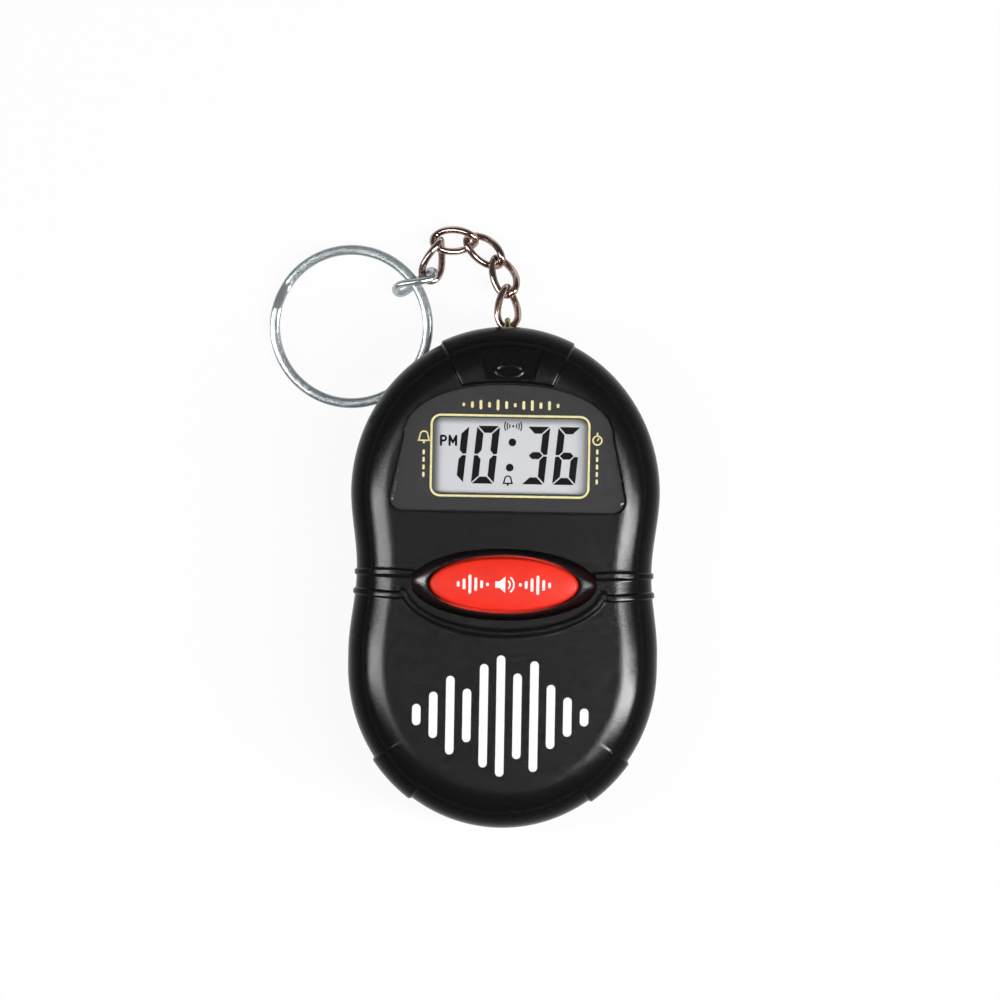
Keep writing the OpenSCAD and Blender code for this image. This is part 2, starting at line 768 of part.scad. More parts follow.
speaker_z = back_wall + 0.2;
speaker_cup_r = speaker_d / 2 - 1.2;
cup_top_z = speaker_z + speaker_thick * 0.64;
module speaker_basket() {
    color("#aeb2b6")
        translate([0, speaker_y, 0])
            rotate_extrude($fn = 72)
                polygon([[speaker_cup_r - 0.5, speaker_z], [speaker_d / 2, speaker_z],
                    [speaker_d / 2, speaker_z + 0.6], [speaker_cup_r + 0.1, speaker_z + 0.6],
                    [speaker_cup_r - 1.4, cup_top_z], [0, cup_top_z], [0, cup_top_z - 0.5],
                    [speaker_cup_r - 1.8, cup_top_z - 0.5], [speaker_cup_r - 0.5, speaker_z + 0.6]]);
}
module speaker_cone() {
    color("#39393c")
        translate([0, speaker_y, speaker_z])
            rotate_extrude($fn = 72)
                polygon([[0, 0.9], [2.6, 0.5], [3.2, 1.3], [speaker_cup_r - 1.6, 0.35],
                    [speaker_cup_r - 0.6, 0.1], [speaker_cup_r - 0.6, 0.3],
                    [speaker_cup_r - 1.6, 0.6], [3.2, 1.6], [2.6, 0.8], [0, 1.2]]);
}
module speaker_magnet() {
    color("#7f8386")
        translate([0, speaker_y, cup_top_z])
            cylinder(r = speaker_d * 0.26, h = speaker_z + speaker_thick - cup_top_z, $fn = 48);
}
module speaker_gasket() {
    color("#3a3a3a")
        translate([0, speaker_y, back_wall])
            difference() {
                cylinder(d = speaker_d - 0.2, h = speaker_z - back_wall, $fn = 64);
                translate([0, 0, -1])
                    cylinder(r = speaker_cup_r - 0.4, h = 3, $fn = 64);
            }
}
module speaker_leads() {
    lead = 0.7;
    color("#b03030")
        for (side = [-1, 1])
            translate([side * 1.6, speaker_y - speaker_cup_r + 2.4, cup_top_z])
                cylinder(d = lead, h = board_z - cup_top_z, $fn = 24);
}

key_flange_z = back_wall + 0.1;
key_top_z = 5.5;
module rear_key(side) {
    color("#2a2a2c")
        translate([side * key_x, key_y, 0])
            union() {
                translate([0, 0, 0.35])
                    cylinder(d = key_d, h = key_flange_z - 0.25, $fn = 32);
                translate([0, 0, key_flange_z])
                    cylinder(d = key_d + 1.4, h = 0.6, $fn = 32);
                translate([0, 0, key_flange_z + 0.5])
                    cylinder(d = key_d - 1.2, h = key_top_z - key_flange_z - 0.5, $fn = 32);
            }
}
module mode_key() {
    rear_key(1);
}
module set_key() {
    rear_key(-1);
}

module key_switches() {
    body = 4.2;
    plunger_z = key_top_z + key_travel + 0.05;
    color("#3b3d40")
        for (side = [-1, 1])
            translate([side * key_x, key_y, 0])
                union() {
                    translate([-body / 2, -body / 2, plunger_z + 1])
                        cube([body, body, board_z - plunger_z - 1]);
                    translate([0, 0, plunger_z])
                        cylinder(d = 1.8, h = 1.2, $fn = 32);
                }
}

// Loop of wire held in the top wall, with upset heads on its inner ends
module anchor_loop() {
    color("#9a8f5a")
        translate([anchor_x, anchor_y, anchor_z])
            union() {
                rotate([0, -90, 0])
                    rotate_extrude(angle = 180, $fn = 48)
                        translate([anchor_bow_r, 0])
                            circle(d = anchor_wire, $fn = 24);
                for (side = [-1, 1])
                    translate([0, 0, side * anchor_bow_r])
                        rotate([90, 0, 0])
                            union() {
                                cylinder(d = anchor_wire, h = anchor_y - anchor_block_y + 0.2, $fn = 24);
                                translate([0, 0, anchor_y - anchor_block_y + 0.05])
                                    cylinder(d = anchor_wire + 0.35, h = 0.5, $fn = 24);
                            }
            }
}

// Twisted link: an oval of wire whose plane turns steadily from one end to the other
link_rings = 28;
link_sides = 10;
link_power = 2.3;
link_a = (link_length - link_wire) / 2;
link_b = (link_width - link_wire) / 2;
function power(v, e) = (v < 0 ? -1 : 1) * pow(abs(v), e);
function link_point(t) =
    let (x = link_a * power(cos(t), 2 / link_power), y = link_b * power(sin(t), 2 / link_power),
        turn = link_twist * x / link_a)
    [x, y * cos(turn), y * sin(turn)];
function link_up(t) =
    let (turn = link_twist * power(cos(t), 2 / link_power)) [0, -sin(turn), cos(turn)];
function link_section(t) =
    let (p = link_point(t), d = link_point(t + 2) - link_point(t - 2), w = d / norm(d),
        side = cross(link_up(t), w), s = side / norm(side), up = cross(w, s))
    [for (i = [0 : link_sides - 1]) let (q = i * 360 / link_sides)
        p + (s * cos(q) + up * sin(q)) * link_wire / 2];

module closed_tube(sections) {
    n = len(sections[0]);
    m = len(sections);
    polyhedron(
        points = [for (s = sections) each s],
        faces = [for (k = [0 : m - 1], i = [0 : n - 1], half = [0, 1])
            let (a = k * n + i, b = k * n + (i + 1) % n, c = ((k + 1) % m) * n + i,
                d = ((k + 1) % m) * n + (i + 1) % n)
            half == 0 ? [a, c, b] : [b, c, d]]);
}

// Place of each link as it lies: centre beyond the top of the case, direction, rise and roll about its own length
link_places = [
    [-0.11, 3.15, 4.25, 90, -20.5, 29],
    [-0.74, 7.59, 2.6, 110.5, -23.5, 15.5],
    [-3.55, 11.19, 1.55, 143, -10, 4],
    [-7.83, 12.47, 1.4, 181.5, -1, -9],
    [-10.58, 9.62, 1.86, 253, 1.5, -45],
    [-13.22, 6.53, 2.1, 207.5, -6.5, -87.5]];
module link(i) {
    p = link_places[i];
    color("#b8b0aa")
        translate([p[0], upper_length + p[1], p[2]])
            rotate([0, 0, p[3]])
                rotate([0, -p[4], 0])
                    rotate([p[5], 0, 0])
                        closed_tube([for (k = [0 : link_rings - 1]) link_section(k * 360 / link_rings)]);
}
module link_1() {
    link(0);
}
module link_2() {
    link(1);
}
module link_3() {
    link(2);
}
module link_4() {
    link(3);
}
module link_5() {
    link(4);
}
module link_6() {
    link(5);
}

// Split ring: flat wire wound twice round, with one step where it climbs onto itself
ring_centre = [-22.11, upper_length + 0.12];
ring_tilt = 2.9;
ring_high_side = 35.7;
ring_start = 168;
ring_ramp = 21;
ring_step = 7;
ring_gap = 0.06;
function smooth(t) = t * t * (3 - 2 * t);
function ring_level(a) = smooth(min(1, max(0, (a - 360 + ring_ramp) / ring_ramp)));
function ring_section(a) =
    let (c = cos(ring_start + a), s = sin(ring_start + a), h = ring_wire_t / 2, w = ring_wire_w / 2,
        mid = ring_d / 2 - w, z = ring_level(a) * (ring_wire_t + ring_gap) - (ring_wire_t + ring_gap) / 2,
        soft = 0.22)
    [for (q = [[w, -h + soft], [w, h - soft], [w - soft, h], [-w + soft, h], [-w, h - soft],
        [-w, -h + soft], [-w + soft, -h], [w - soft, -h]])
        [(mid + q.x) * c, (mid + q.x) * s, z + q.y]];
module open_tube(sections) {
    n = len(sections[0]);
    m = len(sections);
    polyhedron(
        points = [for (s = sections) each s],
        faces = concat(
            [[for (i = [0 : n - 1]) i]],
            [for (k = [0 : m - 2], i = [0 : n - 1], half = [0, 1])
                let (a = k * n + i, b = k * n + (i + 1) % n, c = (k + 1) * n + i,
                    d = (k + 1) * n + (i + 1) % n)
                half == 0 ? [a, c, b] : [b, c, d]],
            [[for (i = [n - 1 : -1 : 0]) (m - 1) * n + i]]));
}
module split_ring() {
    lift = ring_d / 2 * sin(ring_tilt) + ring_wire_t + ring_gap / 2 + 0.02;
    turns = [for (a = [0 : ring_step : 720 - ring_ramp]) a];
    color("#c8d0d8")
        translate([ring_centre.x, ring_centre.y, lift])
            rotate([0, 0, ring_high_side])
                rotate([0, -ring_tilt, 0])
                    rotate([0, 0, -ring_high_side])
                        open_tube([for (a = turns) ring_section(a)]);
}

front_cover();
rear_cover();
case_screws();
display_lens();
display_film();
display_glass();
display_frame();
contact_strips();
circuit_board();
chip_cover();
timing_crystal();
board_parts();
board_screws();
talk_button();
talk_dome();
battery_cap();
cap_gasket();
contact_top();
contact_side();
cell_lower();
cell_upper();
speaker_basket();
speaker_cone();
speaker_magnet();
speaker_gasket();
speaker_leads();
mode_key();
set_key();
key_switches();
anchor_loop();
link_1();
link_2();
link_3();
link_4();
link_5();
link_6();
split_ring();
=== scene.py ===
import math

import bmesh
import bpy
import numpy as np
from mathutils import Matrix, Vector


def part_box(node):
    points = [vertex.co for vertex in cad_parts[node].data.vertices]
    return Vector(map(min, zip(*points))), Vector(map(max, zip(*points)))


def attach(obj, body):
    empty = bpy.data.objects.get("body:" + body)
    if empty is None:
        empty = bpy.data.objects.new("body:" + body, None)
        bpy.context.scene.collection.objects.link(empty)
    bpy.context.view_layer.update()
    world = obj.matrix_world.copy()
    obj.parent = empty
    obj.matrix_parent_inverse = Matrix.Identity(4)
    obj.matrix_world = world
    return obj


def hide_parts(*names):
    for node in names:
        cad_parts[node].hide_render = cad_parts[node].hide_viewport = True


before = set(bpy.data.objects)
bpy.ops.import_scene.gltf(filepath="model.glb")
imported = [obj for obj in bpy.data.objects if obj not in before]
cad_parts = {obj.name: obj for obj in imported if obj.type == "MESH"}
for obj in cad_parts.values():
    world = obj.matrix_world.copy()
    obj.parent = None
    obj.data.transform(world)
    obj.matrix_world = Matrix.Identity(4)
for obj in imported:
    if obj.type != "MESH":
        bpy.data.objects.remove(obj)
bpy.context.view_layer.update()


# Front cover
# Black moulded plastic with a fine spark texture, one of two peanut-shaped shells that meet half way up. Its
# edge is rolled over. A raised band crosses the top and two short ones the lower corners, and two beads run
# in from the waist, the lower of which swings under the button.
MM = 0.001


def box_of(piece):
    """Low and high corner of a drawn piece, in millimetres."""
    return (np.array(corner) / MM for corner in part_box(piece))


front_low, front_high = box_of("front_cover")
band_raise = 0.4
half_length = -front_low[1]
upper_length = front_high[1] - band_raise
lobe_half = 21.7
upper_y, lower_y = 11.7, -12.6
waist_y, waist_reach, waist_depth = 0.8, 11.5, 1.0


def half_width(y):
    """Two elliptical lobes, half_width = 21.7 sqrt(1 - ((y - mid) / reach)^2), less a cosine waist."""
    upper = np.sqrt(np.clip(1 - ((y - upper_y) / (upper_length - upper_y)) ** 2, 0, 1))
    lower = np.sqrt(np.clip(1 - ((y - lower_y) / (half_length + lower_y)) ** 2, 0, 1))
    lobes = lobe_half * np.where(y > upper_y, upper, np.where(y < lower_y, lower, 1))
    near = np.abs(y - waist_y) < waist_reach
    return lobes - np.where(near, waist_depth * (1 + np.cos(np.pi * (y - waist_y) / waist_reach)) / 2, 0)


def edge_point(a):
    """Right edge of the case at angle a in degrees: y = length of that half * sin a, x = half_width(y)."""
    y = np.where(a > 0, upper_length, half_length) * np.sin(np.radians(a))
    return np.stack([half_width(y), y], -1)


def edge_normal(a):
    """Outward unit normal of the right edge, from the chord between a - 0.5 and a + 0.5 degrees."""
    before, after = np.clip(a - 0.5, -90, 90), np.clip(a + 0.5, -90, 90)
    chord = edge_point(after) - edge_point(before)
    chord[np.abs(a) > 89.9] = [[-1, 0]]
    n = np.stack([chord[..., 1], -chord[..., 0]], -1)
    n[a < -89.9] = [[0, -1]]
    n[a > 89.9] = [[0, 1]]
    return n / np.linalg.norm(n, axis=-1, keepdims=True)


top_band_edge, low_band = 69.5, (-62.0, -46.7)
bead_ys = (0.5, -2.2)
spine_low, spine_high = -14.0, 13.0


def edge_columns():
    """Angles along the right edge, spaced as the detail needs: 0.11 mm where a band ends, 0.12 at the beads,
    0.2 at the waist and over the top, and 0.5 elsewhere."""
    a = np.linspace(-90, 90, 6001)
    p = edge_point(a)
    y = p[:, 1]
    gap = np.full(a.shape, 0.5)
    gap[(y < 5) & (y > -10)] = 0.19
    gap[a > 78] = 0.2
    for edge in (top_band_edge, *low_band):
        gap[np.abs(a - edge) < 1.7] = 0.11
    for bead in bead_ys:
        gap[np.abs(y - bead) < 0.7] = 0.12
    steps = np.linalg.norm(np.diff(p, axis=0), axis=1) / gap[1:]
    run = np.concatenate([[0], np.cumsum(steps)])
    return np.interp(np.linspace(0, run[-1], int(run[-1])), run, a)


columns = edge_columns()
edge_xy = edge_point(columns)
edge_out = edge_normal(columns)
spine_xy = np.stack([np.zeros(columns.shape),
                     np.interp(edge_xy[:, 1], [-half_length, upper_length], [spine_low, spine_high])], -1)


def node(tree, kind, inputs=None, **settings):
    """Shader node with its settings, then its inputs, each a plain value or the socket that feeds it."""
    made = tree.nodes.new("ShaderNode" + kind)
    for key, value in settings.items():
        setattr(made, key, value)
    for key, value in (inputs or {}).items():
        if isinstance(value, bpy.types.NodeSocket):
            tree.links.new(value, made.inputs[key])
        else:
            made.inputs[key].default_value = value
    return made


def finish(name, colour, rough, grain=0.0, grain_size=0.3, mottle=0.0, mottle_size=6.0, metal=0.0, coat=0.0,
           scuff=0.0, scuff_size=1.2, spec=0.5, edge_spec=None, flank_shade=None):
    """Shader of one finish, with sizes in millimetres. A broad noise mottles its colour and a finer one its
    roughness, a grain bumps it, and scuffs lighten it where a stretched noise peaks. Where edge_spec is
    given, the mirror part falls to it as the surface turns away, as on a spark-textured moulding. Given a
    flank share, the colour falls to that share on upright faces: a painted shade that stands in for the dark
    reflections along the flanks of a wire."""
    material = bpy.data.materials.new(name)
    material.use_nodes = True
    tree = material.node_tree
    shader = tree.nodes["Principled BSDF"]
    shader.inputs["Metallic"].default_value = metal
    shader.inputs["Coat Weight"].default_value = coat
    shader.inputs["Coat Roughness"].default_value = 0.12
    shader.inputs["Specular IOR Level"].default_value = spec
    place = node(tree, "TexCoord")

    def noise(size, detail, stretch=None):
        source = place.outputs["Object"]
        if stretch:
            turn = {"Vector": source, "Rotation": (0.2, 0.4, 0.7), "Scale": stretch}
            source = node(tree, "Mapping", turn).outputs["Vector"]
        scale = 1 / (size * MM)
        return node(tree, "TexNoise", {"Vector": source, "Scale": scale, "Detail": detail}).outputs["Fac"]

    def spread(source, low, high, a=0.3, b=0.7):
        ends = {"Value": source, "From Min": a, "From Max": b, "To Min": low, "To Max": high}
        return node(tree, "MapRange", ends).outputs["Result"]

    def blend(share, one, two):
        one, two = (c if isinstance(c, bpy.types.NodeSocket) else (*c, 1) for c in (one, two))
        return node(tree, "Mix", {0: share, 6: one, 7: two}, data_type="RGBA").outputs[2]

    light = tuple(min(1, c * (1 + mottle) + mottle * 0.01) for c in colour)
    dark = tuple(c * (1 - mottle) for c in colour)
    shade = blend(spread(noise(mottle_size, 4), 0, 1), dark, light)
    if scuff:
        worn = tuple(min(1, c * 1.6 + 0.05) for c in colour)
        shade = blend(spread(noise(scuff_size, 6, (1, 5, 1)), 0, scuff, 0.62, 0.8), shade, worn)
    # Painted shade: the colour darkens on upright faces, by the object-space normal, in place of the dark
    # reflections along a wire's flanks.
    if flank_shade is not None:
        parts = node(tree, "SeparateXYZ", {"Vector": place.outputs["Normal"]})
        level = node(tree, "Math", {0: parts.outputs["Z"]}, operation="ABSOLUTE").outputs["Value"]
        shade = blend(spread(level, 0, 1, 0.25, 0.8), tuple(c * flank_shade for c in colour), shade)
    tree.links.new(shade, shader.inputs["Base Color"])
    gloss = spread(noise(max(grain_size * 3, 0.6), 4), rough * 0.86, rough * 1.14)
    tree.links.new(gloss, shader.inputs["Roughness"])
    if grain:
        height = {"Strength": grain, "Distance": grain_size * 0.25 * MM, "Height": noise(grain_size, 3)}
        tree.links.new(node(tree, "Bump", height).outputs["Normal"], shader.inputs["Normal"])
    if edge_spec is not None:
        facing = node(tree, "LayerWeight", {"Blend": 0.5}).outputs["Facing"]
        tree.links.new(spread(facing, spec, edge_spec, 0.1, 0.32), shader.inputs["Specular IOR Level"])
    return material


case_black = finish("case_black", (0.002, 0.0019, 0.002), 0.2, grain=0.45, grain_size=0.2, mottle=0.55,
                    mottle_size=0.25, scuff=0.02, scuff_size=2.0, spec=0.6, edge_spec=0.02)
parting_z, face_z = front_low[2], 17.0
edge_z = parting_z + 1
wall = 1.6
front_roll, front_power = 5.5, 2.2
bead_raise, bead_half, bead_ends = 0.3, 0.4, (8.4, 7.0)


def smooth_step(x, low, high):
    """0 below low, 1 above high, and 3t^2 - 2t^3 between them."""
    t = np.clip((x - low) / (high - low), 0, 1)
    return t * t * (3 - 2 * t)


def window(x, low, high, soft):
    """1 between low and high, falling smoothly to 0 over soft on both sides."""
    rise = smooth_step(x, low - soft / 2, low + soft / 2)
    return rise * (1 - smooth_step(x, high - soft / 2, high + soft / 2))


def band_height(a, up):
    """Raised bands: 0.4 mm all over the top one, and on the rolled edge alone for the two low ones."""
    top = smooth_step(a, top_band_edge - 0.45, top_band_edge + 0.45)
    low = window(a, *low_band, 0.9) * (1 - up ** 2)
    return band_raise * np.maximum(top, low)


def bead_height(y, inset):
    """Raised beads across the rolled edge: a rounded ridge 0.8 mm wide that ends at a set inset."""
    ridge = 0
    for bead, end in zip(bead_ys, bead_ends):
        ridge = np.maximum(ridge, window(y, bead - bead_half, bead + bead_half, 0.3) * (inset < end + 0.05))
    return bead_raise * ridge


button_y, button_rx, button_ry = -1.0, 10.4, 3.75
swoosh_rx, swoosh_ry = 14.25, 6.86


def oval_distance(x, y, rx, ry):
    """Rough signed distance from an ellipse round the button: (q - 1) / |grad q|, with q its radius."""
    q = np.sqrt((x / rx) ** 2 + ((y - button_y) / ry) ** 2) + 1e-9
    slope = np.sqrt((x / rx ** 2) ** 2 + ((y - button_y) / ry ** 2) ** 2) / q + 1e-9
    return (q - 1) / slope


def swoosh_height(x, y):
    """The ridge that leaves the lower bead and swings under the button, along an ellipse."""
    ridge = window(oval_distance(x, y, swoosh_rx, swoosh_ry), -bead_half, bead_half, 0.3)
    return bead_raise * ridge * smooth_step(-y, -bead_ys[1] - 0.42, -bead_ys[1] - 0.12)


def front_skin(side):
    """One half of the outer skin, rows by columns. The roll is a superellipse from the parting line to the
    face, the face runs on from it to the spine of the case, and the relief is added to both."""
    t = np.concatenate([[0.0], np.linspace(0, np.pi / 2, 27)])[:, None]
    c, s = np.cos(t) ** (2 / front_power), np.sin(t) ** (2 / front_power)
    inset = front_roll * (1 - c)
    height = edge_z + (face_z - edge_z) * s
    height[0], inset[0] = parting_z, 0
    up = np.sin(t)
    out = np.cos(t)
    raise_by = band_height(columns, up) + bead_height(edge_xy[:, 1], inset)
    xy = edge_xy - edge_out * (inset - raise_by * out)[..., None]
    z = height + raise_by * up
    start = edge_xy - edge_out * front_roll
    f = np.linspace(0, 1, 88)[1:, None, None]
    face_xy = start * (1 - f) + spine_xy * f
    face_inset = np.linalg.norm(face_xy - start, axis=-1) + front_roll
    keep = 1 - smooth_step(face_inset, 8.7, 10.6)
    face_raise = band_height(columns, np.ones((1, 1))) * keep + bead_height(edge_xy[:, 1], face_inset)
    xy = np.concatenate([xy, face_xy])
    z = np.concatenate([z, face_z + face_raise])
    x, y = xy[..., 0] * side, xy[..., 1]
    ridge = swoosh_height(x, y)
    z = np.where(ridge > 0, np.maximum(z, face_z + ridge), z)
    return np.stack([x, y, z], -1)


def inner_skin(side, steps):
    """The hollow behind a shell: offsets of the outline at the heights in steps, then flat to the spine."""
    rows = []
    for inset, z in steps:
        xy = edge_xy - edge_out * inset
        rows.append(np.stack([xy[:, 0] * side, xy[:, 1], np.full(len(columns), z)], -1))
    last_z = steps[-1][1]
    rows.append(np.stack([spine_xy[:, 0], spine_xy[:, 1], np.full(len(columns), last_z)], -1))
    return np.stack(rows)


def mesh_piece(name, points, faces, material, body=None, slot=None, keep_apart=False):
    """An object at the origin from points in millimetres: near doubles merge and the faces are smooth."""
    mesh = bpy.data.meshes.new(name)
    corners = (np.asarray(points, float).reshape(-1, 3) * MM).tolist()
    mesh.from_pydata(corners, [], [list(map(int, face)) for face in faces])
    work = bmesh.new()
    work.from_mesh(mesh)
    if not keep_apart:
        bmesh.ops.remove_doubles(work, verts=work.verts, dist=2e-7)
        bmesh.ops.dissolve_degenerate(work, edges=work.edges, dist=1e-8)
    bmesh.ops.recalc_face_normals(work, faces=work.faces)
    for face in work.faces:
        face.smooth = True
    work.to_mesh(mesh)
    work.free()
    mesh.set_sharp_from_angle(angle=math.radians(38))
    thing = bpy.data.objects.new(name, mesh)
    bpy.context.scene.collection.objects.link(thing)
    mesh.materials.append(material)
    if body:
        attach(thing, body)
    return thing


def grid_faces(rows, cols, start=0, wrap=False):
    """Quads of a grid of rows by cols points, stored row by row; wrap joins the last column to the first."""
    r, c = np.meshgrid(np.arange(rows - 1), np.arange(cols if wrap else cols - 1), indexing="ij")
    right = (c + 1) % cols
    quads = np.stack([r * cols + c, r * cols + right, (r + 1) * cols + right, (r + 1) * cols + c], -1)
    return (quads.reshape(-1, 4) + start).tolist()


def shell_piece(name, outer, steps, material, slot):
    """Joins the right and left halves of an outer skin to their hollow in one closed mesh."""
    points, faces, start = [], [], 0
    for side in (1, -1):
        grid = np.concatenate([outer(side)[::-1], inner_skin(side, steps)])
        faces += grid_faces(grid.shape[0], grid.shape[1], start)
        points.append(grid.reshape(-1, 3))
        start += points[-1].shape[0]
    return mesh_piece(name, np.concatenate(points), faces, material, "case", slot)


lens_low, lens_high = box_of("display_lens")
lens_x = (lens_low[0] + lens_high[0]) / 2
lens_width, lens_bottom_y, lens_top_y = lens_high[0] - lens_low[0], lens_low[1], lens_high[1]
lens_corner, lens_lean, shoulder_y, lens_power = 1.7, 1.8, 19.5, 2.2


def lens_loop(d, n=14):
    """Lens outline grown by d: round lower corners, leaning sides and a superelliptical top."""
    w, r, top = lens_width / 2 + d, lens_corner + d, lens_top_y + d
    t = np.radians(np.linspace(-90, 0, 7))
    corner = np.stack([w - r + r * np.cos(t), lens_bottom_y - d + r + r * np.sin(t)], -1)
    s = np.radians(np.linspace(0, 90, 2 * n))
    arch = np.stack([(w - lens_lean) * np.cos(s) ** (2 / lens_power),
                     shoulder_y + (top - shoulder_y) * np.sin(s) ** (2 / lens_power)], -1)
    right = np.concatenate([corner, arch])
    left = right[-2::-1] * [-1, 1]
    return np.concatenate([right, left]) + [lens_x, 0]


button_gap = 0.35
hole_rx, hole_ry = button_rx + button_gap, button_ry + button_gap
dish_width, dish_depth, dish_side = 2.25, 1.1, 0.38


def ellipse_loop(rx, ry, n=120):
    """Loop of n points: (rx cos t, button_y + ry sin t)."""
    t = np.arange(n) * 2 * np.pi / n
    return np.stack([rx * np.cos(t), button_y + ry * np.sin(t)], -1)


def tube_faces(rows, cols):
    """Quads round a tube of rows by cols points, and a polygon over either end."""
    last = (rows - 1) * cols
    return grid_faces(rows, cols, wrap=True) + [list(range(cols))[::-1], list(range(last, last + cols))]


def stack(*rings):
    """Closed solid through loops of equal length at rising heights, given as (loop, z) pairs."""
    n = len(rings[0][0])
    solid = np.concatenate([np.column_stack([loop, np.full(n, z)]) for loop, z in rings])
    return solid, tube_faces(len(rings), n)


def dish_solid():
    """The bowl round the button: a parabola from the flat edge of the hole up to the face, to be cut away."""
    k = np.linspace(0, 1, 16)
    rings = [(ellipse_loop(hole_rx + 0.05 + dish_width * v, hole_ry + 0.1 + dish_width * dish_side * v, 200),
              face_z - dish_depth * (1 - v * v) + 0.001) for v in k]
    lid = ellipse_loop(hole_rx + 1.2 + dish_width, hole_ry + 1.2 + dish_width * dish_side, 200)
    return stack(*rings, (lid, face_z + 1.2))


panel_x, panel_low_half, panel_top_half = 0.45, 3.4, 4.5
panel_low_y, panel_top_y, panel_deep = 27.7, 32.3, 1.35
bell_x, bell_y = 0.25, 29.0


def bell_shape(x, y):
    """Relief of a small bell: a domed body, its mouth as an oval ring with a lower inside, and a clapper."""
    bx, by = x - bell_x, y - bell_y
    half = np.interp(by, [0, 0.5, 1.2, 2.2, 2.9], [1.95, 1.6, 1.35, 1.2, 0.7])
    body = (1 - smooth_step(np.abs(bx) - half, -0.2, 0.2)) * window(by, 0, 2.8, 0.4)
    q = np.hypot(bx / 1.95, by / 0.8)
    ring = np.exp(-((q - 1) / 0.16) ** 2)
    mouth = 1 - smooth_step(q, 0.75, 0.95)
    clapper = np.exp(-(bx / 0.16) ** 2 - ((by - 0.1) / 0.4) ** 2)
    body = np.maximum(body, 1 - smooth_step(q, 0.95, 1.1))
    return 0.09 * body + 0.08 * ring - 0.09 * mouth + 0.10 * clapper


def panel_solid():
    """The sunk panel, to be cut away: a trapezium with the bell, whose floor slopes down to the chain end."""
    across, along = np.meshgrid(np.linspace(-1, 1, 100), np.linspace(0, 1, 80))
    x = panel_x + across * (panel_low_half + (panel_top_half - panel_low_half) * along)
    y = panel_low_y + along * (panel_top_y + 0.25 * (1 - 2 * np.abs(across)) - panel_low_y)
    slope = panel_deep * (y - panel_low_y) / (panel_top_y - panel_low_y)
    band_z = face_z + band_raise
    low_grid = np.stack([x, y, band_z - 0.02 - slope + bell_shape(x, y)], -1).reshape(-1, 3)
    high_grid = np.stack([x, y, np.full(x.shape, band_z + 1)], -1).reshape(-1, 3)
    rows, cols = x.shape
    rim = np.concatenate([np.arange(cols), np.arange(1, rows) * cols + cols - 1,
                          (rows - 1) * cols + np.arange(cols - 2, -1, -1), np.arange(rows - 2, 0, -1) * cols])
    ahead = np.roll(rim, -1)
    sides = np.stack([rim, ahead, ahead + rows * cols, rim + rows * cols], -1).tolist()
    return (np.concatenate([low_grid, high_grid]),
            grid_faces(rows, cols) + grid_faces(rows, cols, rows * cols) + sides)


film_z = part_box("display_film")[0].z / MM
ceiling_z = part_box("display_glass")[1].z / MM
board_top_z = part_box("circuit_board")[1].z / MM
side_in, roof_in = wall + 0.6, wall + 2.4
front_cover = shell_piece("front_cover_skin", front_skin, [
    (side_in, parting_z), (side_in, ceiling_z - wall), (roof_in, ceiling_z - wall), (roof_in, ceiling_z)],
    case_black, "case_black")
display_x, display_y = 0.55, 17.0
opening_half_x, opening_half_y, opening_room = 10.8, 5.3, 0.3
window_half_x, window_half_y = opening_half_x + opening_room, opening_half_y + opening_room
window_loop = [(display_x + sx * window_half_x, display_y + sy * window_half_y)
               for sx, sy in ((1, -1), (1, 1), (-1, 1), (-1, -1))]


def circle(radius, x=0.0, y=0.0, n=48):
    """Loop of n points: (x + r cos t, y + r sin t)."""
    t = np.arange(n) * 2 * np.pi / n
    return np.stack([x + radius * np.cos(t), y + radius * np.sin(t)], -1)


def post(loop, low, high):
    """Closed prism over a loop, from height low to height high."""
    return stack((loop, low), (loop, high))


def carve(thing, solids, operation="DIFFERENCE"):
    """Cuts solids out of a closed piece, or joins them to it, one boolean modifier each, and applies them."""
    helpers = []
    for k, (points, faces) in enumerate(solids):
        tool = mesh_piece(f"tool_{k}", points, faces, thing.data.materials[0])
        tool.hide_render = True
        mod = thing.modifiers.new(f"cut_{k}", "BOOLEAN")
        mod.operation, mod.object, mod.solver = operation, tool, "MANIFOLD"
        helpers.append(tool)
    bpy.context.view_layer.update()
    made = bpy.data.meshes.new_from_object(thing.evaluated_get(bpy.context.evaluated_depsgraph_get()))
    thing.modifiers.clear()
    thing.data = made
    for tool in helpers:
        bpy.data.objects.remove(tool)
    made.shade_smooth()
    made.set_sharp_from_angle(angle=math.radians(33))
    return thing


boss_r, post_r = 2.4, 1.7
screw_places = [(side * x, y) for x, y in ((8.5, 28.0), (12.5, -22.0)) for side in (-1, 1)]
post_places = [(side * 15.3, 2.5) for side in (-1, 1)]
carve(front_cover, [post(circle(boss_r, *at), parting_z, ceiling_z + 0.5) for at in screw_places]
      + [post(circle(post_r, *at), board_top_z, ceiling_z + 0.5) for at in post_places], "UNION")
carve(front_cover, [
    stack((lens_loop(0.3), film_z), (lens_loop(0.3), face_z + 0.02), (lens_loop(1.5), face_z + 1.3)),
    post(window_loop, ceiling_z - 1, face_z),
    dish_solid(),
    panel_solid(),
    post(ellipse_loop(hole_rx, hole_ry, 200), ceiling_z - 1, face_z)])
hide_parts("front_cover")


# Rear cover
# The other black shell, with four deep screw wells, the battery well with its cap seat, nineteen sound holes,
# two key holes and a notch in its top wall for the anchor loop. It meets the front cover at the parting line.
rear_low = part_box("rear_cover")[0].z / MM
back_roll, back_wall = 9.5, 1.8


def back_inset(z):
    """Inset of the back roll at height z: back_roll (1 - sqrt(1 - ((parting_z - z) / parting_z)^2))."""
    return back_roll * (1 - math.sqrt(1 - ((parting_z - z) / parting_z) ** 2))


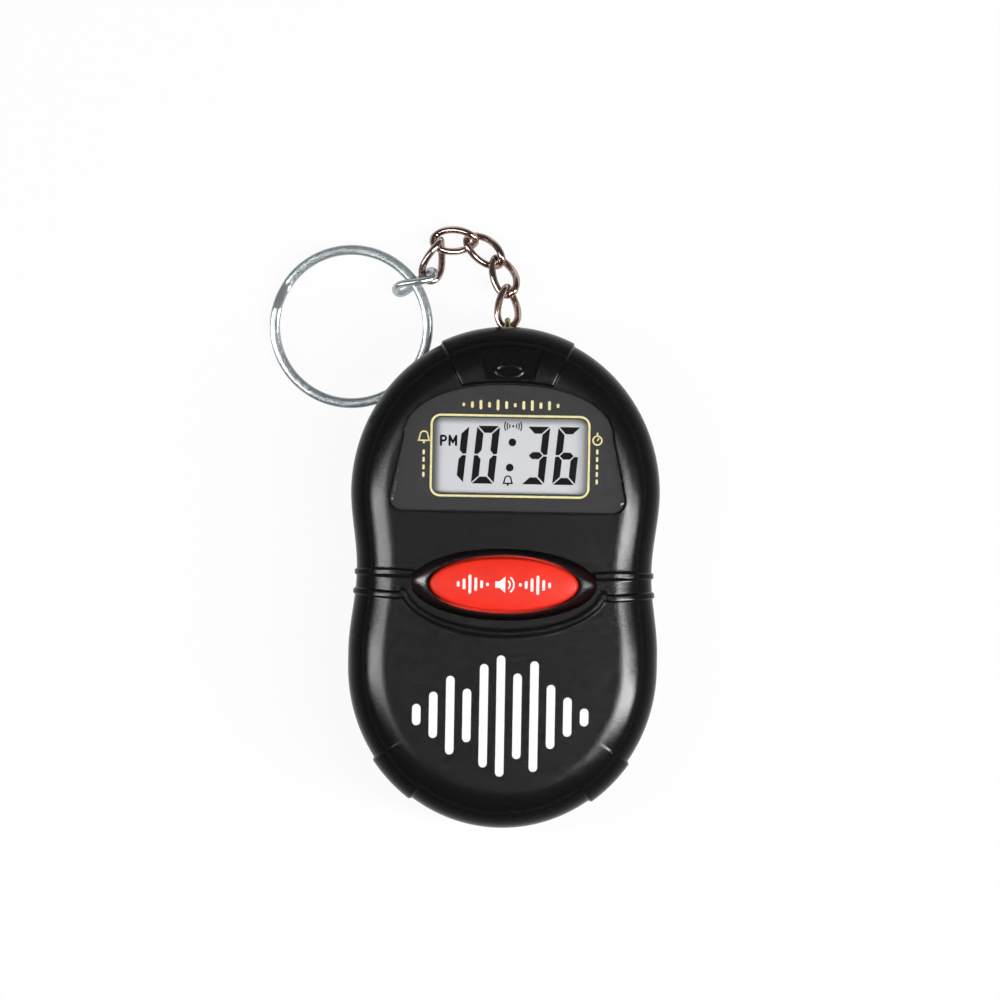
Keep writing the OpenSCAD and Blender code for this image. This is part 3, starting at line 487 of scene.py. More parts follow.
def rear_skin(side):
    """One half of the rear skin: from the parting line round the elliptical roll and over the flat back."""
    t = np.linspace(0, np.pi / 2, 34)[:, None]
    fade = 1 - np.sin(t)
    band = band_height(columns, np.zeros((1, 1)))
    inset = back_roll * (1 - np.cos(t)) - np.maximum(band, bead_height(edge_xy[:, 1], 0)) * fade
    xy = edge_xy - edge_out * inset[..., None]
    f = np.linspace(0, 1, 12)[1:, None, None]
    start = edge_xy - edge_out * back_roll
    xy = np.concatenate([xy, start * (1 - f) + spine_xy * f])
    z = np.concatenate([parting_z * fade + 0 * inset, np.zeros((11, len(columns)))])
    return np.stack([xy[..., 0] * side, xy[..., 1], z + rear_low], -1)


low_step_z, high_step_z = 3.6, 5.6
low_in, mid_in, high_in = (back_inset(z) + wall for z in (back_wall, low_step_z - 0.1, high_step_z - 0.1))
rear_cover = shell_piece("rear_cover_skin", rear_skin, [
    (high_in, parting_z), (high_in, high_step_z), (mid_in, high_step_z), (mid_in, low_step_z),
    (low_in, low_step_z), (low_in, back_wall)], case_black, "case_black")
well_boss_r = 3.0
well_boss_steps = ((4.1, 1.6), (4.1, 3.5), (1.9, 3.52), (1.9, 3.75), (0.0, 3.8), (0.0, parting_z))


def held_in(loop, room):
    """Moves the points of a loop that lie nearer to the edge of the case than room back to that distance."""
    edge = np.concatenate([edge_xy, edge_xy * [-1, 1]])
    out = np.concatenate([edge_out, edge_out * [-1, 1]])
    gap = np.linalg.norm(loop[:, None] - edge[None], axis=-1)
    return loop - out[gap.argmin(1)] * np.clip(room - gap.min(1), 0, None)[:, None]


def screw_boss(at):
    """Boss round a screw well: inside the rolled back until the roll leaves room for all of it. Its steps are
    its least distance from the edge of the case and the height."""
    return stack(*((held_in(circle(well_boss_r, *at), room), z) for room, z in well_boss_steps))


def box_loop(x, half, low_y, high_y):
    """Rectangle of half width half about x, from low_y to high_y."""
    return [(x - half, low_y), (x + half, low_y), (x + half, high_y), (x - half, high_y)]


cap_y, cap_r, cap_seat_z, cap_hole_r, cap_hole_z = -17.5, 8.2, 1.45, 6.9, 2.4
well_r, well_wall, well_floor_z, well_top_z = 6.0, 1.0, 2.0, 12.6
lug_room_r, lug_wall, lug_low_z, lug_high_z, lug_top_z = 7.8, 0.9, 1.95, 3.0, 3.8
speaker_y, speaker_r, speaker_room, speaker_wall, speaker_rim_z = 12.5, 10.0, 0.2, 1.0, 4.4
anchor_x, anchor_block_half, anchor_block_z = -0.13, 2.6, 4.7
anchor_block_y, anchor_block_end_y = upper_length - 3.5, 33.4
anchor_block = box_loop(anchor_x, anchor_block_half, anchor_block_y, anchor_block_end_y)
root = back_wall - 0.5
carve(rear_cover, [
    *(screw_boss(at) for at in screw_places),
    post(circle(well_r + well_wall, 0, cap_y, 72), root, well_top_z),
    post(circle(lug_room_r + lug_wall, 0, cap_y, 72), root, lug_top_z),
    post(circle(speaker_r + speaker_wall, 0, speaker_y, 72), root, speaker_rim_z),
    post(anchor_block, anchor_block_z, parting_z)], "UNION")


def hole(radius, at, depth, chamfer=0.12):
    """Round hole from the back, with a small chamfer at its mouth."""
    mouth, shaft = circle(radius + 2 * chamfer, *at), circle(radius, *at)
    return stack((mouth, rear_low - chamfer), (shaft, rear_low + chamfer), (shaft, depth))


screw_well_r, screw_seat_z, screw_hole_r = 2.0, 4.6, 1.15
sound_hole_r, sound_pitch = 0.65, 2.6
hole_places = [(k * sound_pitch * math.cos(i * math.pi / (3 * max(k, 1))),
                speaker_y + k * sound_pitch * math.sin(i * math.pi / (3 * max(k, 1))))
               for k in range(3) for i in range(max(1, 6 * k))]
key_places, key_hole_r = [(side * 9.0, -3.5) for side in (-1, 1)], 1.9
notch_half, notch_y, notch_end_y, notch_z = 2.9, upper_length - 1.2, 38.0, 2.2
through_z, screw_hole_z, speaker_room_z = back_wall + 0.6, 3.0, 5.0
carve(rear_cover, [
    post(circle(speaker_r + speaker_room, 0, speaker_y, 72), back_wall, speaker_room_z),
    hole(cap_r, (0, cap_y), cap_seat_z, 0.15),
    hole(cap_hole_r, (0, cap_y), cap_hole_z, 0.0),
    post(circle(lug_room_r, 0, cap_y, 72), lug_low_z, lug_high_z),
    post(circle(well_r, 0, cap_y, 72), well_floor_z, well_top_z + 1),
    post(box_loop(anchor_x, notch_half, notch_y, notch_end_y), notch_z, parting_z + 1),
    *(hole(sound_hole_r, at, through_z) for at in hole_places),
    *(hole(key_hole_r, at, through_z) for at in key_places),
    *(hole(screw_well_r, at, screw_seat_z, 0.15) for at in screw_places),
    *(post(circle(screw_hole_r, *at), screw_hole_z, parting_z + 1) for at in screw_places)])
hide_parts("rear_cover")


# Case screws
# Four pan-head thread-forming screws with cross recesses, zinc plated, at the bottoms of the wells.
steel = finish("zinc_plate", (0.5, 0.51, 0.53), 0.32, grain=0.06, grain_size=0.2, mottle=0.12,
               mottle_size=1.5, metal=1.0, scuff=0.3, scuff_size=0.8)


def dress(material, slot, *nodes):
    """Gives pieces that keep their drawn shape the finish that they really have."""
    for name in nodes:
        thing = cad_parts[name]
        thing.data.materials.clear()
        thing.data.materials.append(material)
        thing.data.set_sharp_from_angle(angle=math.radians(30))


dress(steel, "steel", "case_screws")


# Display lens
# A clear acrylic lens with a polished bevel, glued into the pocket of the front cover. Light goes straight
# through it and its two faces mirror by their angle, so that the dark print below it looks deep.
def clear_finish(name, tint, rough, mirror):
    """Clear plastic: each face mirrors a share mirror + (1 - mirror) facing^5 and lets the rest through."""
    material = finish(name, (0.5, 0.5, 0.5), rough)
    tree = material.node_tree
    shader = tree.nodes["Principled BSDF"]
    haze = shader.inputs["Roughness"].links[0].from_socket
    facing = node(tree, "LayerWeight", {"Blend": 0.5}).outputs["Facing"]
    steep = node(tree, "Math", {0: facing, 1: 5.0}, operation="POWER").outputs["Value"]
    ends = {0: steep, 1: 1 - mirror, 2: mirror}
    share = node(tree, "Math", ends, operation="MULTIPLY_ADD").outputs["Value"]
    through = node(tree, "BsdfTransparent", {"Color": (*tint, 1)}).outputs["BSDF"]
    gloss = node(tree, "BsdfGlossy", {"Roughness": haze}).outputs["BSDF"]
    both = node(tree, "MixShader", {0: share, 1: through, 2: gloss}).outputs["Shader"]
    tree.links.new(both, tree.nodes["Material Output"].inputs["Surface"])
    tree.nodes.remove(shader)
    return material


lens_clear = clear_finish("lens_clear", (0.997, 0.997, 0.998), 0.06, 0.035)
bevel, pillow, crown_flat = 0.4, 0.2, 0.4
middle = np.array([lens_x, lens_low[1] + 8.5])
bend = [(lens_loop(-bevel * (1 - math.cos(t))), lens_high[2] - pillow - bevel * (1 - math.sin(t)))
        for t in np.linspace(0, math.pi / 2, 7)]
crown = [(middle + (lens_loop(-bevel) - middle) * (1 - v),
          lens_high[2] - pillow * (1 - min(1, v / crown_flat)) ** 2) for v in np.linspace(0.02, 0.96, 40)]
lens = mesh_piece("lens_clear_part", *stack((lens_loop(0), lens_low[2]), *bend, *crown), lens_clear, "case",
                  "lens_clear")
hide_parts("display_lens")


# Display film
# Black plastic film behind the lens with a round-cornered window and a thin gold line round it. The row of
# bars above the window and the small signs at its sides are printed in the same gold.
film_black = finish("film_black", (0.022, 0.022, 0.024), 0.36, mottle=0.05, mottle_size=2.0)
print_gold = finish("print_gold", (0.95, 0.83, 0.40), 0.42, grain=0.1, grain_size=0.12, mottle=0.12,
                    mottle_size=0.8)
film_low, film_high = box_of("display_film")
film_top = film_high[2] - 0.03


def round_box(half_x, half_y, corner, n=9):
    """Loop of a rectangle with round corners about the origin."""
    t = np.linspace(0, np.pi / 2, n)
    turns = [(1, 1, 0), (-1, 1, 1), (-1, -1, 2), (1, -1, 3)]
    arcs = [np.stack([sx * (half_x - corner) + corner * np.cos(t + k * np.pi / 2),
                      sy * (half_y - corner) + corner * np.sin(t + k * np.pi / 2)], -1)
            for sx, sy, k in turns]
    return np.concatenate(arcs)


def ring_solid(outer, inner, z_low, z_high):
    """Flat ring between two loops of equal length: a tube that runs back into its start, so without ends."""
    points, faces = stack((outer, z_low), (outer, z_high), (inner, z_high), (inner, z_low), (outer, z_low))
    return points, faces[:-2]


def flat_piece(name, solids, material, body, drape=None):
    """One piece from several flat solids; drape(x, y) adds the height of the surface that carries them."""
    points, faces, start = [], [], 0
    for solid, quads in solids:
        solid = np.array(solid, float)
        if drape:
            solid[:, 2] += drape(solid[:, 0], solid[:, 1])
        points.append(solid)
        faces += [[v + start for v in face] for face in quads]
        start += len(solid)
    return mesh_piece(name, np.concatenate(points), faces, material, body, keep_apart=True)


def capsule(x0, y0, x1, y1, r, n=9):
    """Loop of a straight stroke with round ends."""
    a = math.atan2(y1 - y0, x1 - x0) + np.pi / 2
    t = np.linspace(0, np.pi, n)
    return np.concatenate([np.stack([x0 + r * np.cos(a + t), y0 + r * np.sin(a + t)], -1),
                           np.stack([x1 + r * np.cos(a + np.pi + t), y1 + r * np.sin(a + np.pi + t)], -1)])


def arc_band(x, y, r, w, a0, a1, n=20):
    """Loop of a curved stroke of width w, from angle a0 to a1 in degrees about x, y."""
    t = np.radians(np.linspace(a0, a1, n))
    out = np.stack([x + (r + w / 2) * np.cos(t), y + (r + w / 2) * np.sin(t)], -1)
    back = np.stack([x + (r - w / 2) * np.cos(t), y + (r - w / 2) * np.sin(t)], -1)[::-1]
    return np.concatenate([out, back])


def flats(loops, z_low, z_high):
    """Flat solids over several loops."""
    return [post(loop, z_low, z_high) for loop in loops]


def level_bars(places, y, levels, r):
    """Upright strokes with round ends of radius r, one at each place in x, as high as its level, about y."""
    return [capsule(x, y - h / 2 + r, x, y + h / 2 - r, r) for x, h in zip(places, levels)]


def bell_loops(x, y, h, w):
    """A small bell sign of height h in strokes of width w: dome, flared foot and clapper."""
    r = 0.32 * h
    return [arc_band(x, y + 0.1 * h, r, w, 0, 180),
            capsule(x - r, y + 0.1 * h, x - r * 1.35, y - 0.32 * h, w / 2),
            capsule(x + r, y + 0.1 * h, x + r * 1.35, y - 0.32 * h, w / 2),
            capsule(x - r * 1.5, y - 0.34 * h, x + r * 1.5, y - 0.34 * h, w / 2),
            circle(w * 0.75, x, y - 0.5 * h, 14)]


window_corner = 1.0
film = mesh_piece("film_black_part", *post(lens_loop(0), film_low[2], film_top), film_black, "case",
                  "film_black")
display_at = [display_x, display_y]
opening = round_box(opening_half_x, opening_half_y, window_corner) + display_at
carve(film, [post(opening, film_low[2] - 1, film_top + 1)])
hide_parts("display_film")
print_low, print_high = film_top, film_top + 0.02
line_x, line_y, line_width, line_corner = 11.2, 5.8, 0.3, 1.45
line_out = round_box(line_x, line_y, line_corner) + display_at
line_in = round_box(line_x - line_width, line_y - line_width, line_corner - line_width) + display_at
frame_line = ring_solid(line_out, line_in, print_low, print_high)
bar_levels = [0.5, 0.9, 1.3, 0.8, 1.5, 1.1, 0.6, 1.2, 1.5, 0.9, 1.3, 0.6]
bar_x, bar_y, bar_pitch, bar_r = display_x - 6.6, 24.15, 1.2, 0.2
bars = level_bars(bar_x + bar_pitch * np.arange(len(bar_levels)), bar_y, bar_levels, bar_r)


def dashes(x, y, count):
    """Short upright strokes one below another."""
    return [capsule(x, y - 1.05 * k, x, y - 0.4 - 1.05 * k, 0.16) for k in range(count)]


left_x, right_x = display_x - 12.1, display_x + 12.2
left_signs = bell_loops(left_x, 19.6, 1.7, 0.2) + dashes(left_x, 17.6, 4)
right_signs = [arc_band(right_x, 19.4, 0.62, 0.2, 0, 360, 36),
               capsule(right_x, 19.4, right_x + 0.2, 19.7, 0.08),
               capsule(right_x, 20.15, right_x, 20.4, 0.12)] + dashes(right_x, 18.0, 5)
flat_piece("gold_print", [frame_line] + flats(bars + left_signs + right_signs, print_low, print_high),
           print_gold, "case")


# Display glass
# Two glass plates with liquid crystal between them. The grey ground is the reflector behind them. The digits
# lie in the plates as thin dark films, leaning five and a half degrees, with clear gaps where segments meet.
display_grey = finish("display_grey", (0.70, 0.715, 0.74), 0.35, grain=0.05, grain_size=0.1, mottle=0.01,
                      mottle_size=5.0, coat=0.1)


def shade_window(material):
    """Soft shadow of the window frame on the reflector, as a product of two smooth steps: the colour falls to
    a fifth over 1.4 mm at the left edge and to three tenths over 1.1 mm at the upper one."""
    tree = material.node_tree
    left, top = display_x - opening_half_x, display_y + opening_half_y
    parts = node(tree, "SeparateXYZ", {"Vector": node(tree, "TexCoord").outputs["Object"]})
    steps = []
    for axis, start, end, least in (("X", left, left + 1.4, 0.2), ("Y", top, top - 1.1, 0.3)):
        ends = {"Value": parts.outputs[axis], "From Min": start * MM, "From Max": end * MM, "To Min": least}
        steps.append(node(tree, "MapRange", ends, interpolation_type="SMOOTHSTEP").outputs["Result"])
    both = node(tree, "Math", {0: steps[0], 1: steps[1]}, operation="MULTIPLY").outputs["Value"]
    colour = tree.nodes["Principled BSDF"].inputs["Base Color"]
    ends = {0: 1.0, 6: colour.links[0].from_socket, 7: both}
    shaded = node(tree, "Mix", ends, data_type="RGBA", blend_type="MULTIPLY").outputs[2]
    tree.links.new(shaded, colour)


shade_window(display_grey)
segment_dark = finish("segment_dark", (0.003, 0.002, 0.002), 0.35, spec=0.1, mottle=0.2, mottle_size=2.0)
dress(display_grey, "display_grey", "display_glass")
glass_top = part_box("display_glass")[1].z / MM
digit_h, digit_w, stroke_w, stroke_gap = 8.1, 3.2, 0.98, 0.14
lean = math.tan(math.radians(5.5))
lit_segments = {"0": "abcdef", "1": "bc", "3": "abcdg", "6": "acdefg"}


def digit(sign, x, y):
    """Loops of the lit segments of one digit: a at the top, b to f clockwise from it, g across the middle."""
    w, h, t, g = digit_w, digit_h, stroke_w, stroke_gap
    m = h / 2
    top = [(g, h), (w - g, h), (w - g - t, h - t), (g + t, h - t)]
    side = [(w, h - g), (w, m + g), (w - t / 2, m + g * 0.6), (w - t, m + t / 2 + g), (w - t, h - t - g)]
    middle = [(t / 2 + g, m), (t + g, m + t / 2), (w - t - g, m + t / 2), (w - t / 2 - g, m),
              (w - t - g, m - t / 2), (t + g, m - t / 2)]
    shapes = {"a": top, "b": side, "g": middle,
              "c": [(px, h - py) for px, py in side], "d": [(px, h - py) for px, py in top],
              "f": [(w - px, py) for px, py in side], "e": [(w - px, h - py) for px, py in side]}
    found = [np.array(shapes[s]) for s in lit_segments[sign]]
    return [np.stack([x + loop[:, 0] + lean * loop[:, 1], y + loop[:, 1]], -1) for loop in found]


digits_y = 13.1
digit_places = (("1", -9.75), ("0", -5.43), ("3", 1.6), ("6", 5.95))
lit = [loop for sign, x in digit_places for loop in digit(sign, x + display_x, digits_y)]
dots = [circle(0.54, display_x + x, digits_y + y, 24) for x, y in ((0.3, 5.85), (-0.02, 2.3))]
letter_x, letter_y = display_x - 9.7, digits_y + 5.35
letter_strokes = [(0, 0, 0, 1.25, 0.16), (0, 1.25, 0.35, 1.25, 0.16), (0, 0.6, 0.35, 0.6, 0.16),
                  (1.2, 0, 1.2, 1.25, 0.16), (1.2, 1.25, 1.65, 0.35, 0.15), (1.65, 0.35, 2.1, 1.25, 0.15),
                  (2.1, 0, 2.1, 1.25, 0.16)]
letters = [capsule(letter_x + x0, letter_y + y0, letter_x + x1, letter_y + y1, r)
           for x0, y0, x1, y1, r in letter_strokes]
letters.insert(1, arc_band(letter_x + 0.35, letter_y + 0.93, 0.33, 0.3, -90, 90))
wave_x, wave_y = display_x + 0.37, digits_y + 8.1
waves = [circle(0.16, wave_x, wave_y, 16)] + [arc_band(wave_x, wave_y, r, 0.17, a - 32, a + 32)
                                              for r in (0.5, 0.85, 1.2) for a in (0, 180)]
signs = letters + waves + bell_loops(display_x - 0.25, digits_y + 0.55, 1.35, 0.2)
flat_piece("display_digits", flats(lit + dots + signs, glass_top + 0.004, glass_top + 0.02), segment_dark,
           "case")


# Display frame and contact strips
# A white plastic frame holds the glass to the board, and two banded rubber strips carry its signals.
frame_white = finish("frame_white", (0.66, 0.66, 0.62), 0.45, grain=0.1, grain_size=0.3, mottle=0.05)
strip_pink = finish("strip_pink", (0.70, 0.28, 0.28), 0.6, grain=0.3, grain_size=0.15, mottle=0.25,
                    mottle_size=0.4)
dress(frame_white, "frame_white", "display_frame")
dress(strip_pink, "strip_pink", "contact_strips")


# Circuit board
# Green laminate with its parts on the back: the dripped black chip cover, the timing crystal, small parts and
# the key switches. Two screws hold it on the posts of the front cover.
board_green = finish("board_green", (0.03, 0.16, 0.05), 0.35, grain=0.1, grain_size=0.2, mottle=0.25,
                     mottle_size=2.0, coat=0.3)
chip_black = finish("chip_black", (0.012, 0.012, 0.012), 0.25, grain=0.1, grain_size=0.5, mottle=0.2)
part_brown = finish("part_brown", (0.25, 0.14, 0.05), 0.4, grain=0.1, grain_size=0.2, mottle=0.2)
dress(board_green, "board_green", "circuit_board")
dress(chip_black, "chip_black", "chip_cover", "key_switches")
dress(part_brown, "part_brown", "board_parts")
dress(steel, "steel", "board_screws", "timing_crystal")


# Talk button
# One red moulding with a flat crown and a softly rounded edge, held under the oval hole by its flange. The
# white sign, a speaker between sound bars, is printed on its crown. A steel snap dome under it clicks.
button_red = finish("button_red", (0.85, 0.025, 0.009), 0.34, spec=0.35, grain=0.12, grain_size=0.22,
                    mottle=0.05, mottle_size=2.0, scuff=0.12, scuff_size=1.5)
print_white = finish("print_white", (0.92, 0.92, 0.91), 0.5, grain=0.15, grain_size=0.12, mottle=0.05,
                     mottle_size=0.6, scuff=0.1)
button_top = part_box("talk_button")[1].z / MM
crown_edge, crown_drop, crown_power, edge_drop = 0.55, 0.303, 3.53, 0.5


def crown_height(x, y):
    """Height of the crown: its top less crown_drop q^crown_power, with q the elliptical distance from its
    middle."""
    q = np.sqrt((x / button_rx) ** 2 + ((y - button_y) / button_ry) ** 2)
    return button_top - crown_drop * q ** crown_power


def button_rings():
    """Loops from the flange up the side, round the edge and over the crown."""
    rim_z = button_top - 0.75
    flange_z = ceiling_z - 0.8
    rings = [(0.95, flange_z), (0.95, flange_z + 0.7), (0.0, flange_z + 0.7), (0.0, rim_z)]
    made = [(ellipse_loop(button_rx + d, button_ry + d), z) for d, z in rings]
    for t in np.linspace(0, np.pi / 2, 10)[1:]:
        e = crown_edge * (1 - math.cos(t))
        made.append((ellipse_loop(button_rx - e, button_ry - e), rim_z + edge_drop * math.sin(t)))
    for q in np.linspace(0.93, 0.04, 16):
        loop = ellipse_loop(button_rx * q, button_ry * q)
        made.append((loop, button_top - crown_drop * q ** crown_power))
    return made


button = mesh_piece("talk_button_skin", *stack(*button_rings()), button_red, "talk_button_body", "button_red")
dome_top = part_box("talk_dome")[1].z / MM
stem_r, stem_gap = 1.6, 0.05
carve(button, [post(circle(stem_r, 0, button_y, 32), dome_top + stem_gap, ceiling_z - 0.5)], "UNION")
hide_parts("talk_button")
dress(steel, "steel", "talk_dome")
sound_levels, sound_x, sound_step, sound_r = [0.5, 1.1, 1.9, 2.7, 1.5, 0.8], 2.3, 0.82, 0.2
sound_places = np.outer(sound_x + sound_step * np.arange(len(sound_levels)), (-1, 1)).ravel()
sound_bars = level_bars(sound_places, button_y, np.repeat(sound_levels, 2), sound_r)
horn = [(-1.2, -0.45), (-0.6, -0.45), (0.2, -1.15), (0.2, 1.15), (-0.6, 0.45), (-1.2, 0.45)]
speaker_sign = [np.array(horn) + [0, button_y], arc_band(0.1, button_y, 0.75, 0.24, -48, 48),
                arc_band(0.1, button_y, 1.3, 0.24, -52, 52)]
flat_piece("talk_sign", flats(sound_bars + speaker_sign, -0.05, 0.025), print_white, "talk_button_body",
           drape=crown_height)


# Lower face
# The print below the button is a level graph of round-ended white bars, screened on the flat of the cover.
graph_x, graph_y, graph_pitch, graph_r = -0.2, -19.4, 2.35, 0.6
graph_levels = [3.0, 6.5, 11.0, 7.5, 14.5, 17.0, 12.0, 15.5, 9.0, 5.5, 2.5]
graph = level_bars(graph_x + graph_pitch * np.arange(-5, 6), graph_y, graph_levels, graph_r)
flat_piece("face_print", flats(graph, face_z - 0.01, face_z + 0.012), print_white, "case")


# Power
# A black bayonet cap with a coin slot closes the well in the back, and a rubber pad in it presses on two
# silver cells. A leaf over the upper cell and a strip at the side of the lower one lead to the board.
key_black = finish("key_black", (0.007, 0.007, 0.0075), 0.36, grain=0.3, grain_size=0.2, mottle=0.3,
                   mottle_size=0.5)
pad_rubber = finish("pad_rubber", (0.02, 0.02, 0.02), 0.75, grain=0.3, grain_size=0.2, mottle=0.2)
brass = finish("brass", (0.72, 0.52, 0.22), 0.3, grain=0.05, grain_size=0.2, mottle=0.15, metal=1.0,
               scuff=0.2)
dress(pad_rubber, "pad_rubber", "cap_gasket")
dress(brass, "brass", "contact_top", "contact_side")
cap_low, cap_high = box_of("battery_cap")


def turned(profile, x, y, n=72):
    """Solid of revolution: loops of (radius, z) stations about a vertical axis."""
    return stack(*[(circle(r, x, y, n), z) for r, z in profile])


cap_profile = [(7.75, cap_low[2]), (7.93, cap_low[2] + 0.07), (8.0, cap_low[2] + 0.25),
               (8.0, cap_seat_z - 0.05), (6.7, cap_seat_z - 0.05), (6.7, cap_high[2])]
cap = mesh_piece("battery_cap_skin", *turned(cap_profile, 0, cap_y), key_black, "battery_cap_body",
                 "key_black")
slot_half, slot_r, slot_z, pad_r, pad_z = 4.5, 0.7, 0.9, 5.2, 2.2
carve(cap, [post(capsule(-slot_half, cap_y, slot_half, cap_y, slot_r), cap_low[2] - 1, slot_z),
            post(circle(pad_r, 0, cap_y, 64), pad_z, cap_high[2] + 1)])
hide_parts("battery_cap")
dress(steel, "steel", "cell_lower", "cell_upper")


# Speaker
# A small round speaker behind the sound holes: a pressed basket, a paper cone, a plated magnet can, a rubber
# ring as gasket, and two red leads to the board.
cone_paper = finish("cone_paper", (0.03, 0.03, 0.033), 0.7, grain=0.4, grain_size=0.15, mottle=0.3,
                    mottle_size=0.8)
lead_red = finish("lead_red", (0.45, 0.03, 0.03), 0.4, mottle=0.05)
dress(steel, "steel", "speaker_basket", "speaker_magnet")
dress(cone_paper, "cone_paper", "speaker_cone")
dress(pad_rubber, "pad_rubber", "speaker_gasket")
dress(lead_red, "lead_red", "speaker_leads")


# Rear keys
# Two small black keys with domed ends, sunk just below the back and pushed with a pen point or a nail.
key_low, key_high = box_of("mode_key")
key_profile = [(0.9, key_low[2]), (1.35, key_low[2] + 0.05), (1.6, key_low[2] + 0.18),
               (1.7, key_low[2] + 0.4), (1.7, back_wall + 0.1), (2.4, back_wall + 0.1),
               (2.4, back_wall + 0.7), (1.1, back_wall + 0.7), (1.1, key_high[2])]
for drawn, at in zip(("set_key", "mode_key"), key_places):
    key = mesh_piece(f"{drawn}_skin", *turned(key_profile, *at, 40), key_black, f"{drawn}_body", "key_black")
    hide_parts(drawn)


# Anchor loop
# Brass wire bent into a narrow bow, its two legs pushed through the top wall and headed inside.
loop_brass = finish("loop_brass", (0.40, 0.33, 0.15), 0.3, grain=0.08, grain_size=0.15, mottle=0.3,
                    mottle_size=0.8, metal=1.0, scuff=0.4, scuff_size=0.5)


def sweep(path, section, up, closed):
    """Tube along a path: at each point the section's first number goes sideways and its second along up."""
    path, up = np.asarray(path, float), np.asarray(up, float)
    if closed:
        ahead = np.roll(path, -1, 0) - np.roll(path, 1, 0)
    else:
        ahead = np.gradient(path, axis=0)
    ahead /= np.linalg.norm(ahead, axis=1, keepdims=True)
    side = np.cross(up, ahead)
    side /= np.linalg.norm(side, axis=1, keepdims=True)
    rise = np.cross(ahead, side)
    q = np.asarray(section, float)
    points = path[:, None] + side[:, None] * q[None, :, :1] + rise[:, None] * q[None, :, 1:]
    if closed:
        points = np.concatenate([points, points[:1]])
        return points.reshape(-1, 3), grid_faces(len(points), len(q), wrap=True)
    return points.reshape(-1, 3), tube_faces(len(points), len(q))


anchor_wire, anchor_bow_r, anchor_z = 0.8, 1.3, 5.4
anchor_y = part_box("anchor_loop")[1].y / MM - anchor_wire / 2 - anchor_bow_r
t = np.linspace(-np.pi / 2, np.pi / 2, 40)
bow = np.stack([np.full(t.shape, anchor_x), anchor_y + anchor_bow_r * np.cos(t),
                anchor_z + anchor_bow_r * np.sin(t)], -1)
legs = [(anchor_x, anchor_block_y + 0.3, anchor_z + side * anchor_bow_r) for side in (-1, 1)]
bow_path = np.concatenate([legs[:1], bow, legs[1:]])
across = np.tile([1.0, 0, 0], (len(bow_path), 1))
anchor = mesh_piece("anchor_wire", *sweep(bow_path, circle(anchor_wire / 2, n=24), across, False), loop_brass,
                    "case", "loop_brass")
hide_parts("anchor_loop")


# Chain
# Six links of round steel wire, each an oval whose plane twists by forty degrees to either end, butt welded
# and nickel plated. The first hangs on the anchor loop, and each lies as gravity and its neighbour left it.
# Both platings carry a painted shade that darkens their upright faces, in place of the dark reflections along
# the wire's flanks.
nickel_link = finish("nickel_link", (0.70, 0.52, 0.46), 0.16, grain_size=0.25, mottle=0.42, mottle_size=1.8,
                     metal=1.0, flank_shade=0.25)
nickel_ring = finish("nickel_ring", (0.80, 0.87, 0.93), 0.2, grain_size=0.3, mottle=0.14, mottle_size=5.0,
                     metal=0.85, flank_shade=0.2)
link_wire, link_length, link_width, link_twist, link_power = 1.0, 7.0, 4.1, 40.0, 2.3
link_places = [(-0.11, 37.95, 4.25, 90, -20.5, 29), (-0.74, 42.39, 2.6, 110.5, -23.5, 15.5),
               (-3.55, 45.99, 1.55, 143, -10, 4), (-7.83, 47.27, 1.4, 181.5, -1, -9),
               (-10.58, 44.42, 1.86, 253, 1.5, -45), (-13.22, 41.33, 2.1, 207.5, -6.5, -87.5)]


def turn_matrix(axis, degrees):
    """3 by 3 rotation about x, y or z."""
    c, s = math.cos(math.radians(degrees)), math.sin(math.radians(degrees))
    m = np.eye(3)
    i, j = {"x": (1, 2), "y": (2, 0), "z": (0, 1)}[axis]
    m[i, i], m[i, j], m[j, i], m[j, j] = c, -s, s, c
    return m


def link_path(n=128):
    """Superellipse whose width turns with its length: (a C, b S cos 40 C, b S sin 40 C), with C and S the
    rounded cosine and sine, a and b its half length and half width, and the turn in degrees."""
    t = np.arange(n) * 2 * np.pi / n
    c = np.sign(np.cos(t)) * np.abs(np.cos(t)) ** (2 / link_power)
    s = np.sign(np.sin(t)) * np.abs(np.sin(t)) ** (2 / link_power)
    turn = np.radians(link_twist) * c
    b = (link_width - link_wire) / 2 * s
    path = np.stack([(link_length - link_wire) / 2 * c, b * np.cos(turn), b * np.sin(turn)], -1)
    return path, np.stack([0 * turn, -np.sin(turn), np.cos(turn)], -1)


points, faces = sweep(link_path()[0], circle(link_wire / 2, n=20), link_path()[1], True)
for k, (x, y, z, heading, rise, roll) in enumerate(link_places, 1):
    lie = turn_matrix("z", heading) @ turn_matrix("y", -rise) @ turn_matrix("x", roll)
    plating = nickel_ring if k == len(link_places) else nickel_link
    link = mesh_piece(f"link_{k}_wire", points @ lie.T + [x, y, z], faces, plating, f"link_{k}_body",
                      "nickel")
    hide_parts(f"link_{k}")


# Split ring
# Flat spring-steel wire wound twice round and nickel plated. It steps up onto itself once, and its two cut
# ends lie on either side of that step. The last link hangs on both turns.
ring_d, ring_wire_w, ring_wire_t, ring_round, ring_gap = 23.0, 1.4, 0.8, 0.36, 0.06
ring_centre, ring_tilt, ring_high_side, ring_start, ring_ramp = (-22.11, 34.92), 2.9, 35.7, 168, 21


